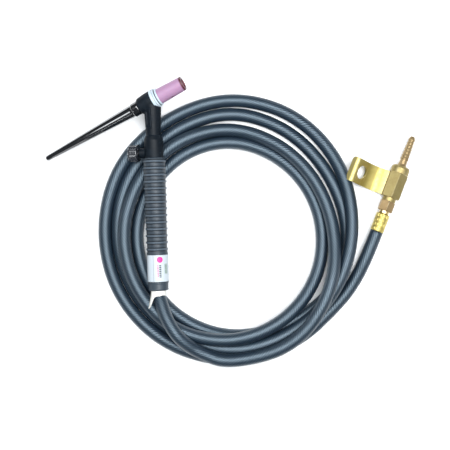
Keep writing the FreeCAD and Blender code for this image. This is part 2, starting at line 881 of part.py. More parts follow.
def make_handle():
    """Ribbed grip, cable-end ring, label sleeve and the torn paper wrap."""
    ridge = 0.4
    front = d.grip_front_dia / 2
    rear = d.grip_rear_dia / 2
    tail = d.grip_tail_dia / 2
    fall = (front - rear) / (d.rib_count - 1)
    wall = 4.0
    outline = [(d.valve_body_dia / 2, 0), (front - 2.0, 0), (front - d.rib_depth, 1.0)]
    for rib in range(int(d.rib_count.number)):
        top = front - fall * rib
        low = top - d.rib_depth
        middle = d.rib_first + d.rib_pitch * rib
        half = d.rib_width / 2
        outline += [
            (low, middle - half - ridge),
            (top, middle - half + ridge),
            (top, middle + half - ridge),
            (low, middle + half + ridge),
        ]
    outline += [
        (tail, d.rib_first + d.rib_pitch * d.rib_count - 3.5),
        (tail, d.grip_length),
        (d.grip_bore / 2, d.grip_length),
        (d.grip_bore / 2, wall),
        (d.valve_body_dia / 2, wall),
    ]
    turned("handle_grip", outline, HANDLE_IN_ROW)
    ring = d.end_ring_dia / 2
    hole = d.hose_dia / 2 + 0.1
    end = d.grip_length + d.end_ring_length
    turned(
        "handle_end_ring",
        [
            (hole, d.grip_length),
            (ring, d.grip_length),
            (ring, end - 1.2),
            (ring - 1.2, end),
            (hole, end),
        ],
        HANDLE_IN_ROW,
    )
    label_end = d.label_start + d.label_length
    turned(
        "label_sleeve",
        tube(tail, tail + d.paper_thick, d.label_start, label_end),
        HANDLE_IN_ROW,
    )
    inside = d.hose_dia / 2 + 0.3
    flare = d.wrap_flare_dia / 2
    turned(
        "paper_wrap",
        [
            (inside, end),
            (inside + d.paper_thick, end),
            (flare, end + d.wrap_length),
            (flare - d.paper_thick, end + d.wrap_length),
        ],
        HANDLE_IN_ROW,
    )


def make_handle_inside():
    """The hose nipple and crimped ferrule hidden in the handle, and the hose's first length."""
    flange = 18.0
    nipple_end = 62.0
    bore = 2.5
    nipple = d.hose_bore / 2
    turned(
        "torch_nipple",
        [
            (bore, d.valve_body_rear),
            (7.0, d.valve_body_rear),
            (7.0, flange),
            (nipple, flange),
            (nipple, nipple_end),
            (bore, nipple_end),
        ],
        HANDLE_IN_ROW,
    )
    ferrule_length = 22.0
    turned(
        "torch_ferrule",
        tube(d.hose_dia / 2, d.hose_dia / 2 + 1.8, d.lead_start, d.lead_start + ferrule_length),
        HANDLE_IN_ROW,
    )
    start = d.lead_start.number
    outside = cylinder(
        "lead_outside", d.hose_dia / 2, d.lead_end - d.lead_start, shifted(HANDLE, start)
    )
    inside = cylinder("lead_inside", nipple, nipple_end - start, shifted(HANDLE, start))
    node = cut_away("hose_lead", outside, [inside])
    node.Label = "hose_lead"
    finish(node, TORCH)


def oval(name, half_x, half_y, x, y, top):
    """An upright elliptical block on the floor."""
    ring = doc.addObject("Part::Ellipse", name + "_outline")
    ring.setExpression("MajorRadius", half_y.text)
    ring.setExpression("MinorRadius", half_x.text)
    ring.Placement = at(x.number, y.number, 0, spin(0, 0, 1, 90))
    block = doc.addObject("Part::Extrusion", name)
    block.Base = ring
    block.DirMode = "Custom"
    block.Dir = FreeCAD.Vector(0, 0, 1)
    block.setExpression("LengthFwd", as_size(top).text)
    block.Solid = True
    return block


def make_coil():
    """The outer shape of the laid turns: low at the head side, higher where they pile up."""
    reach = 230.0
    deep = 60.0
    break_y = 12.5
    fall = math.degrees(
        math.atan(
            (d.coil_high.number - d.coil_low.number)
            / (d.coil_half_y.number - d.coil_y.number + break_y)
        )
    )
    low = oval("coil_low_part", d.coil_half_x, d.coil_half_y, d.coil_x, d.coil_y, d.coil_low)
    high = oval(
        "coil_high_part", d.coil_half_x, d.coil_half_y, d.coil_x, d.coil_y, d.coil_high
    )
    above = doc.addObject("Part::Box", "coil_above")
    above.Length, above.Width, above.Height = (2 * reach, 3 * reach, deep)
    above.Placement = at(
        d.coil_x.number, break_y, d.coil_low.number, spin(1, 0, 0, -fall)
    ) * at(-reach, -2 * reach, 0)
    sloped = cut_away("coil_sloped", high, [above])
    whole = fused("coil_whole", [low, sloped])
    hole = oval("coil_hole", d.hole_half_x, d.hole_half_y, d.hole_x, d.hole_y, deep)
    level = FreeCAD.Placement(
        TORCH.Base, TORCH.Rotation * spin(0, 1, 0, d.torch_roll.number)
    )
    bed = doc.addObject("Part::Box", "coil_bed_box")
    bed.setExpression("Length", d.coil_bed_width.text)
    bed.setExpression("Width", (d.lead_end + 20).text)
    bed.Height = deep
    bed.Placement = level * at(
        -d.coil_bed_width.number / 2, -d.lead_end.number, -d.coil_bed.number
    )
    node = cut_away("hose_coil", whole, [hole, bed])
    node.Label = "hose_coil"
    finish(node, HERE)


TAIL_ROUTE = [
    (277.9, -134.6, 8.0),
    (297.9, -107.2, 8.0),
    (312.9, -75.1, 12.8),
]


def make_tail():
    """The last stretch of hose, from the coil to the adapter."""
    end = (d.adapter_x.number, d.adapter_y.number, d.adapter_height.number)
    corners = [FreeCAD.Vector(*spot) for spot in TAIL_ROUTE + [end]]
    wire, length, radii = rounded_path(corners)
    print("hose tail: arc radii", [round(r) for r in radii], "mm")
    start = wire.Edges[0]
    radius = d.hose_dia.number / 2
    circle = Part.Circle(corners[0], start.tangentAt(start.FirstParameter), radius)
    profile = Part.Wire(circle.toShape())
    shape = wire.makePipeShell([profile], True, True)
    expected = math.pi * radius**2 * length
    print(f"hose tail: volume {shape.Volume:.0f}, section times length {expected:.0f}")
    tail = doc.addObject("Part::Feature", "hose_tail")
    tail.Label = "hose_tail"
    tail.Shape = shape
    nodes.append(tail)


def make_adapter():
    """Ferrule, nipple, union nut, hexagonal adapter and gas barb on one axis."""
    ferrule = common(
        "hose_ferrule",
        prism("ferrule_flats", 8, d.ferrule_dia - 0.5, 0, d.ferrule_length, 0, HERE),
        turned_tool("ferrule_sleeve", ferrule_outline(), HERE),
    )
    ferrule.Label = "hose_ferrule"
    finish(ferrule, ADAPTER)
    neck = d.nipple_neck_dia / 2
    lip = d.nut_start + 3
    nose = d.nut_start + 6.4
    bore = d.barb_bore / 2
    turned(
        "hose_nipple",
        [
            (bore, 0.4),
            (d.nipple_dia / 2, 0.4),
            (d.nipple_dia / 2, d.ferrule_length),
            (neck - 0.8, d.ferrule_length),
            (neck, d.ferrule_length + 1),
            (neck, lip + 0.1),
            (d.thread_dia / 2, lip + 0.1),
            (d.thread_dia / 2, nose - 0.1),
            (bore, nose - 0.1),
        ],
        ADAPTER,
    )
    nut = common(
        "union_nut",
        prism("nut_flats_prism", 6, d.nut_flats, d.nut_start, d.nut_length, 0, HERE),
        turned_tool("nut_sleeve", nut_outline(lip), HERE),
    )
    nut.Label = "union_nut"
    finish(nut, ADAPTER)
    make_adapter_body(nose)
    make_barb()


def ferrule_outline():
    """A sleeve with four shallow grooves pressed round it."""
    outer = d.ferrule_dia / 2
    inner = d.nipple_dia / 2
    deep = 0.35
    count = 4
    pitch = d.ferrule_length / (count + 1)
    outline = [(inner, 0), (outer - 0.4, 0), (outer, 0.6)]
    for groove in range(1, count + 1):
        middle = pitch * groove
        outline += [
            (outer, middle - 0.7),
            (outer - deep, middle),
            (outer, middle + 0.7),
        ]
    outline += [
        (outer, d.ferrule_length - 0.6),
        (outer - 0.6, d.ferrule_length),
        (inner, d.ferrule_length),
    ]
    return outline


def nut_outline(lip):
    """The union nut's section: rear lip round the neck, inside thread and rounded corners."""
    corner = d.nut_flats / 2 * 1.155
    end = d.nut_start + d.nut_length
    edge = 1.3
    neck = d.nipple_neck_dia / 2 + d.running_gap
    thread = d.thread_dia / 2 + d.running_gap
    return [
        (neck, d.nut_start),
        (corner - edge, d.nut_start),
        (corner, d.nut_start + edge),
        (corner, end - edge),
        (corner - edge, end),
        (thread, end),
        (thread, lip),
        (neck, lip),
    ]


def make_adapter_body(nose):
    """Threaded nose, collar, hexagon and rounded shoulder in one bored piece."""
    bore = d.barb_bore / 2
    socket = 3.5
    hexagon = d.hex_start + d.hex_length
    end = hexagon + d.shoulder_length
    collar = d.collar_dia / 2
    shoulder = d.hex_flats / 2 + 0.4
    gap = d.nut_start + d.nut_length + 0.2
    spine = turned_tool(
        "adapter_spine",
        [
            (bore, nose),
            (d.thread_dia / 2, nose),
            (d.thread_dia / 2, gap),
            (collar, gap),
            (collar, d.hex_start),
            (collar, hexagon),
            (shoulder, hexagon),
            (shoulder, hexagon + 6.0),
            (shoulder - 0.7, hexagon + 8.0),
            (shoulder - 2.6, hexagon + 9.5),
            (shoulder - 4.6, end),
            (d.barb_root_dia / 2, end),
            (socket, end),
            (socket, end - 7),
            (bore, end - 7),
        ],
        HERE,
    )
    corner = d.hex_flats / 2 * 1.155
    edge = 1.2
    flats = common(
        "adapter_flats",
        prism("adapter_prism", 6, d.hex_flats, d.hex_start, d.hex_length, 0, HERE),
        turned_tool(
            "adapter_edges",
            [
                (bore, d.hex_start),
                (corner - edge, d.hex_start),
                (corner, d.hex_start + edge),
                (corner, hexagon - edge),
                (corner - edge, hexagon),
                (bore, hexagon),
            ],
            HERE,
        ),
    )
    node = fused("adapter_body", [spine, flats])
    node.Label = "adapter_body"
    finish(node, ADAPTER)


def make_barb():
    """The ribbed gas barb screwed into the adapter's shoulder."""
    start = d.hex_start + d.hex_length + d.shoulder_length
    bore = 1.7
    ribs = 6
    bare = 8.0
    taper = 6.5
    pitch = (d.barb_length - bare - taper) / ribs
    fall = (d.barb_root_dia - d.barb_tip_dia) / 2 / ribs
    outline = [(bore, start - 6.8), (3.5, start - 6.8), (3.5, start)]
    outline += [(d.barb_root_dia / 2 - 0.9, start), (d.barb_root_dia / 2 - 0.9, start + bare)]
    for rib in range(ribs):
        crest = d.barb_root_dia / 2 - fall * rib
        root = crest - 0.9
        low = start + bare + pitch * rib
        outline += [(crest, low + 0.5), (root, low + pitch)]
    end = start + d.barb_length
    tip = d.barb_tip_dia / 2
    outline += [(tip, end - taper + 1.0), (tip - 0.7, end - 2.6), (tip - 1.5, end - 0.9)]
    outline += [(bore + 0.6, end), (bore, end)]
    turned("gas_barb", outline, ADAPTER)


LUG_ROUTE = [(22.0, 5.3), (36.0, 9.5), (54.0, 27.5), (60.5, 22.6)]


def make_lug():
    """The bent brass bracket on the adapter, with its stud hole.

    Its route is across the adapter: distance from the axis, and height above the floor.
    """
    inside = 1.5
    below = 2.5
    root = (d.hex_flats.number / 2 - inside, d.adapter_height.number - below)
    spots = [root] + LUG_ROUTE
    corners = [FreeCAD.Vector(d.adapter_height.number - w, u, 0) for u, w in spots]
    wire = rounded_path(corners)[0]
    thick = d.lug_thick.number / 2
    width = d.lug_width.number
    across = (corners[1] - corners[0]).normalize().cross(FreeCAD.Vector(0, 0, 1))
    lift = FreeCAD.Vector(0, 0, width)
    a = corners[0] + across * thick
    b = corners[0] - across * thick
    profile = Part.makePolygon([a, b, b + lift, a + lift, a])
    plate = wire.makePipeShell([profile], True, False)
    tip = corners[-1]
    short = [edge for edge in plate.Edges if on_the_tip(edge, tip)]
    corner_round = 4.0
    plate = plate.makeFillet(corner_round, short)
    flat = corners[3] - corners[2]
    normal = flat.cross(FreeCAD.Vector(0, 0, 1)).normalize()
    middle = (corners[2] + corners[3]) * 0.5 + lift * 0.5
    reach = 15.0
    drill = Part.makeCylinder(
        d.lug_hole_dia.number / 2, 2 * reach, middle - normal * reach, normal
    )
    lug = doc.addObject("Part::Feature", "lug_bracket")
    lug.Label = "lug_bracket"
    lug.Shape = plate.cut(drill).cut(hexagon_of_adapter(width))
    finish(lug, shifted(ADAPTER, d.hex_start.number + (d.hex_length.number - width) / 2))
    place = lug.Placement
    print("lug hole at", place.multVec(middle), "axis", place.Rotation.multVec(normal))


def on_the_tip(edge, tip):
    """True for the two short edges across the plate's thickness at its free end."""
    if abs(edge.Length - d.lug_thick.number) > 0.01:
        return False
    middle = edge.CenterOfMass
    near = 0.2
    return middle.distanceToPoint(FreeCAD.Vector(tip.x, tip.y, middle.z)) < near


def hexagon_of_adapter(length):
    """The adapter's hexagon as a plain solid, which the bracket's root is cut to fit."""
    reach = d.hex_flats.number / math.sqrt(3)
    ring = [spin(0, 0, 1, 60 * side).multVec(FreeCAD.Vector(reach, 0, 0)) for side in range(6)]
    face = Part.Face(Part.makePolygon(ring + [ring[0]]))
    return face.extrude(FreeCAD.Vector(0, 0, length))


HEAD_IN_ROW = TORCH * HEAD
VALVE_IN_ROW = TORCH * VALVE
HANDLE_IN_ROW = TORCH * HANDLE
CAP_IN_ROW = shifted(
    HEAD_IN_ROW * at(0, 0, 0, spin(1, 0, 0, 180)), (d.head_rear - d.cap_nose).number
)

make_nozzle()
make_gasket()
make_collet_body()
make_collet()
make_electrode()
make_head_core()
make_back_cap()
make_cap_ring()
make_neck_tube()
make_head_cover()
make_valve_body()
make_housing()
make_valve()
make_handle()
make_handle_inside()
make_coil()
make_tail()
make_adapter()
make_lug()
doc.recompute()

for item in doc.Objects:
    assert not {"Invalid", "Error"} & set(item.State), f"{item.Name}: {item.State}"
for node in nodes:
    shape = node.Shape
    assert not shape.isNull() and shape.isValid(), f"{node.Label} isn't a valid shape"
    assert len(shape.Solids) == 1, f"{node.Label} has {len(shape.Solids)} solids"

os.makedirs("parts", exist_ok=True)
for node in nodes:
    node.Shape.exportStep(f"parts/{node.Label}.step")
print(len(nodes), "sub-parts written")
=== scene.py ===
"""TIG torch lying on its coiled power hose, with the brass hose-end adapter.

Outlines, routes and named sizes are in millimetres, and every mesh is made in metres in the
row's frame. The camera and the lights are placed in metres.
"""

import math
import random

import bmesh
import bpy
from mathutils import Matrix, Vector, noise


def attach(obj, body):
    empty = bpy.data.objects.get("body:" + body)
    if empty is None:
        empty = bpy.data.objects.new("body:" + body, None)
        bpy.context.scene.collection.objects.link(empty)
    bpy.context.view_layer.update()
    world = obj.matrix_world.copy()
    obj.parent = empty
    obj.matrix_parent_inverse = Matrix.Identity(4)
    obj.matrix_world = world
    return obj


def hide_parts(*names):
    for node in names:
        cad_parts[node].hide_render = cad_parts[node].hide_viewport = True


MM = 0.001
UP = Vector((0, 0, 1))

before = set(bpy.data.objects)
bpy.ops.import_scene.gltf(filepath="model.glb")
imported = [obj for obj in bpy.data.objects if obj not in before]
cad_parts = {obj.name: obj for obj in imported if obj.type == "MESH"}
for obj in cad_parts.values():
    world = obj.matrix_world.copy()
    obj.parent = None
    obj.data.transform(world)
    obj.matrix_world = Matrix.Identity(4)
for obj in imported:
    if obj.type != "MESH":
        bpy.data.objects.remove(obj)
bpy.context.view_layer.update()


# ---------------------------------------------------------------- frames


def move(x, y, z):
    """A shift, in millimetres."""
    return Matrix.Translation(Vector((x, y, z)) * MM)


def spin(axis, degrees):
    """A turn about a coordinate axis."""
    return Matrix.Rotation(math.radians(degrees), 4, axis)


# The torch's frame has Y towards the head, from the middle of the valve housing's end. Z of the
# others points out of the nozzle, the cap's end, the knob's face, the handle's end and the barb.
TORCH = move(49.2, 44.7, 35.6) @ spin("Z", 1.8) @ spin("X", 2.0) @ spin("Y", -13.2)
HEAD = TORCH @ move(0, 70.0, 0) @ spin("Z", 25.0) @ spin("Y", 90)
CAP = HEAD @ spin("X", 180) @ move(0, 0, 7.6)
VALVE = TORCH @ move(0, 6.3, 0) @ spin("Y", -90)
HANDLE = TORCH @ spin("X", 90)
ADAPTER = move(324.5, -45.0, 12.8) @ spin("Z", 69) @ spin("Y", 90)


# ---------------------------------------------------------------- camera


def make_camera():
    """Straight above the coil and the torch, looking down."""
    data = bpy.data.cameras.new("camera")
    data.lens = 73.6
    data.clip_start = 0.01
    camera = bpy.data.objects.new("camera", data)
    camera.location = (0.13565, -0.03717, 1.158)
    bpy.context.scene.collection.objects.link(camera)
    bpy.context.scene.camera = camera


make_camera()


# ---------------------------------------------------------------- meshes


def new_piece(name, mesh, body, slot, *nodes):
    """Links a mesh as a piece that rides on a body and stands for CAD nodes."""
    piece = bpy.data.objects.new(name, mesh)
    bpy.context.scene.collection.objects.link(piece)
    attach(piece, body)
    if nodes:
        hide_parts(*nodes)
    return piece


def mesh_of(name, points, faces, uvs=None):
    """A mesh from points in metres; uvs holds one pair for each face corner."""
    mesh = bpy.data.meshes.new(name)
    mesh.from_pydata([tuple(p) for p in points], [], faces)
    if uvs:
        layer = mesh.uv_layers.new(name="UVMap")
        for loop, pair in zip(layer.data, uvs):
            loop.uv = pair
    mesh.validate()
    mesh.update()
    return mesh


def softened(outline, radius=0.4, steps=3):
    """An outline with its corners rounded. A corner with a third value has its own radius."""
    most = 0.45  # of a span that one rounding may take
    result = []
    last = len(outline) - 1
    for index, corner in enumerate(outline):
        here = Vector(corner[:2])
        own = corner[2] if len(corner) > 2 else radius
        if index in (0, last) or own <= 0:
            result.append(here)
            continue
        before = Vector(outline[index - 1][:2]) - here
        after = Vector(outline[index + 1][:2]) - here
        if before.length < 1e-6 or after.length < 1e-6:
            result.append(here)
            continue
        reach = min(own, before.length * most, after.length * most)
        a = here + before.normalized() * reach
        b = here + after.normalized() * reach
        for step in range(steps + 1):
            t = step / steps
            result.append(a.lerp(here, t).lerp(here.lerp(b, t), t))
    return result


def divided(outline, step):
    """The outline with its long spans cut into shorter ones."""
    result = [Vector(outline[0][:2])]
    for a, b in zip(outline, outline[1:]):
        a, b = Vector(a[:2]), Vector(b[:2])
        count = max(1, round((b - a).length / step))
        result += [a.lerp(b, i / count) for i in range(1, count + 1)]
    return result


def lathe(name, outline, place, sides=96, shape=None, closed=False, sharp=42):
    """Turns an outline of (radius, height) about the frame's Z axis.

    shape(radius, height, angle) gives the radius and height that a point takes. Edges of more
    than sharp degrees stay crisp. UVs are in millimetres: round the piece and along the outline.
    """
    points, rows, along = [], [], [0.0]
    for a, b in zip(outline, outline[1:]):
        along.append(along[-1] + (Vector(b) - Vector(a)).length)
    for radius, height in outline:
        row = []
        pole = radius < 1e-6
        for side in range(1 if pole else sides):
            angle = math.tau * side / sides
            r, z = shape(radius, height, angle) if shape else (radius, height)
            row.append(len(points))
            points.append(place @ (Vector((r * math.cos(angle), r * math.sin(angle), z)) * MM))
        rows.append(row)
    widest = max(r for r, _ in outline)
    faces, uvs = [], []
    pairs = list(zip(range(len(rows)), range(1, len(rows))))
    if closed:
        pairs.append((len(rows) - 1, 0))
        along.append(along[-1])
    for low, high in pairs:
        v0, v1 = along[low], along[low + 1]
        a, b = rows[low], rows[high]
        if len(a) == 1 and len(b) == 1:
            continue
        for side in range(sides):
            after = (side + 1) % sides
            u0 = math.tau * widest * side / sides
            u1 = math.tau * widest * (side + 1) / sides
            if len(a) == 1:
                faces.append((a[0], b[after], b[side]))
                uvs += [((u0 + u1) / 2, v0), (u1, v1), (u0, v1)]
            elif len(b) == 1:
                faces.append((a[side], a[after], b[0]))
                uvs += [(u0, v0), (u1, v0), ((u0 + u1) / 2, v1)]
            else:
                faces.append((a[side], a[after], b[after], b[side]))
                uvs += [(u0, v0), (u1, v0), (u1, v1), (u0, v1)]
    mesh = mesh_of(name, points, faces, uvs)
    facing_out(mesh)
    mesh.shade_smooth()
    mesh.set_sharp_from_angle(angle=math.radians(sharp))
    return mesh


def facing_out(mesh):
    """Makes every face look outwards."""
    work = bmesh.new()
    work.from_mesh(mesh)
    bmesh.ops.recalc_face_normals(work, faces=work.faces)
    work.to_mesh(mesh)
    work.free()


NO_END = 999.0  # a high that bump_between never reaches


def bump_between(value, low, high, soft):
    """1 between low and high, 0 outside, with soft ends."""
    up = min(1.0, max(0.0, (value - low) / soft + 0.5))
    down = min(1.0, max(0.0, (high - value) / soft + 0.5))
    up = up * up * (3 - 2 * up)
    down = down * down * (3 - 2 * down)
    return up * down


def angle_gap(angle, middle):
    """The angle from middle, in degrees, from -180 to 180."""
    return (math.degrees(angle) - middle + 180) % 360 - 180


# ---------------------------------------------------------------- materials


class Shade:
    """A principled material with helpers to add procedural detail.

    Noise and wave scales are in cycles for each metre of the piece, or for each millimetre of UV.
    """

    def __init__(self, name, color, roughness=0.5, metallic=0.0, specular=0.5):
        self.material = bpy.data.materials.new(name)
        self.material.use_nodes = True
        self.tree = self.material.node_tree
        self.shader = self.tree.nodes["Principled BSDF"]
        self.set(base=color, rough=roughness, metal=metallic, specular=specular)
        self.height = None

    NAMES = {
        "base": "Base Color",
        "rough": "Roughness",
        "metal": "Metallic",
        "specular": "Specular IOR Level",
        "coat": "Coat Weight",
        "coat_rough": "Coat Roughness",
        "subsurface": "Subsurface Weight",
        "tint": "Specular Tint",
    }

    def set(self, **values):
        """Sets the shader's own sockets, for what is the same all over the surface."""
        for key, value in values.items():
            socket = self.shader.inputs[self.NAMES[key]]
            if isinstance(value, tuple) and len(value) == 3:
                value = (*value, 1.0)
            socket.default_value = value

    def add(self, kind):
        """A new shader node."""
        return self.tree.nodes.new("ShaderNode" + kind)

    def give(self, socket, value):
        """Links a socket to another, or sets its value."""
        if isinstance(value, bpy.types.NodeSocket):
            self.tree.links.new(value, socket)
        else:
            socket.default_value = value

    def space(self, scale=(1, 1, 1), kind="Object", turn=0.0):
        """Coordinates scaled and turned about Z."""
        source = self.add("TexCoord").outputs[kind]
        mapping = self.add("Mapping")
        mapping.inputs["Scale"].default_value = scale
        mapping.inputs["Rotation"].default_value = (0, 0, math.radians(turn))
        self.tree.links.new(source, mapping.inputs["Vector"])
        return mapping.outputs[0]

    def painted_light_and_wear(self):
        """The painted light and shade, and the wear, that mark_painted_light_and_wear stored on
        the mesh, from 0 to 1.
        """
        layer = self.add("VertexColor")
        layer.layer_name = "painted_light_and_wear"
        return layer.outputs["Color"]

    def edges(self):
        """About 0.5 on flat faces, more on outer edges and less in inner corners."""
        return self.add("NewGeometry").outputs["Pointiness"]

    def noise(self, scale, detail=3.0, rough=0.55, vector=None, distortion=0.0):
        """Fractal noise, from 0 to 1."""
        node = self.add("TexNoise")
        node.inputs["Scale"].default_value = scale
        node.inputs["Detail"].default_value = detail
        node.inputs["Roughness"].default_value = rough
        node.inputs["Distortion"].default_value = distortion
        self.tree.links.new(vector or self.space(), node.inputs["Vector"])
        return node.outputs["Fac"]

    def ramp(self, factor, *stops):
        """A colour ramp; stops are (position, value)."""
        node = self.add("ValToRGB")
        while len(node.color_ramp.elements) < len(stops):
            node.color_ramp.elements.new(0.5)
        for element, (position, value) in zip(node.color_ramp.elements, stops):
            element.position = position
            element.color = (value, value, value, 1.0)
        self.tree.links.new(factor, node.inputs[0])
        return node.outputs[0]

    def math(self, operation, a, b=0.0, c=0.0):
        """A maths node's result."""
        node = self.add("Math")
        node.operation = operation
        for socket, value in zip(node.inputs, (a, b, c)):
            self.give(socket, value)
        return node.outputs[0]

    def mix(self, factor, a, b):
        """Colour a where factor is 0, and b where it is 1."""
        node = self.add("Mix")
        node.data_type = "RGBA"
        self.give(node.inputs[0], factor)
        for socket, value in ((node.inputs[6], a), (node.inputs[7], b)):
            if isinstance(value, tuple):
                value = (*value, 1.0)
            self.give(socket, value)
        return node.outputs[2]

    def color(self, socket):
        """Links the base colour."""
        self.tree.links.new(socket, self.shader.inputs["Base Color"])

    def rough(self, socket):
        """Links the roughness."""
        self.tree.links.new(socket, self.shader.inputs["Roughness"])

    def bump(self, height, distance, strength=1.0):
        """Adds a bump; distance is in millimetres. Later bumps lie on earlier ones."""
        node = self.add("Bump")
        node.inputs["Strength"].default_value = strength
        node.inputs["Distance"].default_value = distance * MM
        self.tree.links.new(height, node.inputs["Height"])
        if self.height:
            self.tree.links.new(self.height, node.inputs["Normal"])
        self.height = node.outputs[0]
        self.tree.links.new(self.height, self.shader.inputs["Normal"])


def hose_rubber():
    """Dark blue-grey rubber with the diagonal print of the cloth that it was cured in."""
    shade = Shade("hose_rubber", (0.02, 0.03, 0.042), 0.4, specular=1.0)
    shade.set(tint=(0.70, 0.87, 1.0))
    threads = []
    for turn, scale in ((-38, 0.125), (50, 0.2)):
        wave = shade.add("TexWave")
        wave.wave_profile = "SIN"
        wave.inputs["Scale"].default_value = scale
        wave.inputs["Distortion"].default_value = 0.6
        wave.inputs["Detail"].default_value = 1.5
        wave.inputs["Detail Scale"].default_value = 1.2
        shade.tree.links.new(shade.space(kind="UV", turn=turn), wave.inputs["Vector"])
        threads.append(wave.outputs["Fac"])
    warp, weft = threads
    cloth = shade.math("MULTIPLY", warp, shade.ramp(weft, (0.0, 0.55), (0.6, 1.0)))
    patches = shade.noise(9.0, 3.0)
    fine = shade.noise(420.0, 4.0, 0.65)
    dust = shade.noise(60.0, 5.0, 0.65)
    lit = shade.mix(cloth, (0.001, 0.003, 0.006), (0.015, 0.033, 0.059))
    aged = shade.mix(shade.ramp(patches, (0.35, 0.0), (0.7, 0.3)), lit, (0.003, 0.006, 0.010))
    shade.color(shade.mix(shade.ramp(dust, (0.62, 0.0), (0.8, 0.2)), aged, (0.05, 0.068, 0.09)))
    shade.rough(shade.ramp(cloth, (0.2, 0.46), (0.8, 0.33)))
    shade.bump(cloth, 0.2, 0.9)
    shade.bump(fine, 0.05, 0.5)
    return shade.material


def moulded(name, color, wear_and_painted_light, rough=(0.36, 0.5), specular=0.4):
    """Black moulding: fine grain, paler marks, painted shade in inner corners and a painted
    highlight on outer edges.
    """
    shade = Shade(name, color, rough[0], specular=specular)
    spots = shade.noise(900.0, 2.0, 0.5)
    marks = shade.noise(45.0, 6.0, 0.7)
    edges = shade.edges()
    # painted shade: inner corners darkened as if shaded
    inner = shade.ramp(edges, (0.42, 0.85), (0.49, 0.0))
    face = shade.mix(shade.ramp(marks, (0.5, 0.0), (0.8, 0.5)), color, wear_and_painted_light)
    # painted highlight: outer edges lightened as if lit
    painted_light = shade.mix(shade.ramp(edges, (0.51, 0.0), (0.58, 0.9)), face, wear_and_painted_light)
    shade.color(shade.mix(inner, painted_light, (0.003, 0.004, 0.005)))
    shade.rough(shade.ramp(marks, (0.3, rough[0]), (0.7, rough[1])))
    shade.bump(spots, 0.035, 0.7)
    return shade.material


def ribbed():
    """Hard black rubber: painted shade in the grooves, a painted highlight on the pads and a
    stronger one on the ridges, paler where dusty.
    """
    shade = Shade("grip_rubber", (0.012, 0.018, 0.025), 0.42, specular=0.32)
    marks = shade.noise(45.0, 6.0, 0.7)
    dusty = shade.ramp(marks, (0.45, 0.0), (0.8, 0.6))
    # the painted highlight colour of ridges and pads, paler where dusty; the grooves take painted
    # shade
    top = shade.mix(dusty, (0.082, 0.108, 0.138), (0.125, 0.158, 0.195))
    shade.color(shade.mix(shade.painted_light_and_wear(), (0.004, 0.006, 0.009), top))
    shade.rough(shade.ramp(marks, (0.3, 0.4), (0.7, 0.54)))
    shade.bump(shade.noise(900.0, 2.0, 0.5), 0.05, 0.7)
    return shade.material


def gloss(name, color, rough=0.12):
    """Glossy black thermoset with faint moulding ripple and fine scratches."""
    shade = Shade(name, color, rough)
    shade.set(specular=1.0, coat=1.0, coat_rough=0.06)
    ripple = shade.noise(60.0, 2.0)
    scratch = shade.noise(140.0, 6.0, 0.8, shade.space((1, 1, 7)))
    shade.rough(shade.ramp(scratch, (0.4, rough), (0.8, rough + 0.02)))
    shade.bump(ripple, 0.012, 0.15)
    return shade.material


def pink_ceramic():
    """Satin pink alumina: fine grain, faint handling marks, darker at the mouth and in the nick,
    and painted shade in the bore.
    """
    shade = Shade("pink_ceramic", (0.66, 0.36, 0.46), 0.42)
    shade.set(subsurface=0.05)
    speck = shade.noise(700.0, 3.0, 0.6)
    cloud = shade.noise(70.0, 4.0, 0.6)
    paler = shade.ramp(cloud, (0.35, 0.0), (0.7, 0.6))
    base = shade.mix(paler, (0.36, 0.20, 0.33), (0.40, 0.24, 0.37))
    dots = shade.ramp(speck, (0.66, 0.0), (0.74, 0.45))
    spotted = shade.mix(dots, base, (0.5, 0.26, 0.38))
    shade.color(shade.mix(shade.painted_light_and_wear(), spotted, (0.075, 0.010, 0.02)))
    shade.rough(shade.ramp(speck, (0.3, 0.36), (0.7, 0.52)))
    shade.bump(speck, 0.03, 0.6)
    return shade.material


def white_polymer():
    """White gasket polymer with faint machining rings, a little grime, and painted shade in the
    turned groove and under the lip.
    """
    shade = Shade("white_polymer", (0.82, 0.88, 0.9), 0.4)
    shade.set(subsurface=0.08)
    grime = shade.noise(130.0, 5.0, 0.7)
    handled = shade.ramp(grime, (0.5, 0.0), (0.78, 0.6))
    face = shade.mix(handled, (0.56, 0.64, 0.71), (0.36, 0.42, 0.48))
    # painted shade in the groove and under the lip
    shade.color(shade.mix(shade.painted_light_and_wear(), face, (0.04, 0.05, 0.065)))
    shade.rough(shade.ramp(grime, (0.3, 0.36), (0.7, 0.52)))
    shade.bump(shade.noise(500.0, 2.0), 0.02, 0.5)
    return shade.material


def brass(name, light, dark, rough, tool_marks=0.03, stretch=(1, 1, 14), painted_light=0.0):
    """Brass with drawn or turned marks, light tarnish and a painted highlight on its edges."""
    shade = Shade(name, light, rough[0], 0.8)
    tarnish = shade.noise(75.0, 6.0, 0.7)
    marks = shade.noise(220.0, 4.0, 0.6, shade.space(stretch, "UV"))
    face = shade.mix(shade.ramp(tarnish, (0.38, 0.0), (0.72, 0.8)), light, dark)
    # painted highlight: outer edges lightened towards pale brass as if lit
    painted_edge_highlight = shade.ramp(shade.edges(), (0.52, 0.0), (0.6, painted_light))
    shade.color(shade.mix(painted_edge_highlight, face, (0.88, 0.8, 0.55)))
    shade.rough(shade.ramp(shade.noise(300.0, 3.0), (0.3, rough[0]), (0.7, rough[1])))
    shade.bump(marks, tool_marks, 0.6)
    return shade.material


def plain_metal(name, light, dark, rough):
    """A metal of the hidden pieces, with fine grain."""
    shade = Shade(name, light, rough, 1.0)
    tarnish = shade.ramp(shade.noise(180.0, 5.0), (0.35, 0.0), (0.7, 0.7))
    shade.color(shade.mix(tarnish, light, dark))
    shade.rough(shade.ramp(shade.noise(350.0, 3.0), (0.3, rough * 0.8), (0.7, rough * 1.3)))
    shade.bump(shade.noise(800.0, 2.0), 0.02, 0.5)
    return shade.material


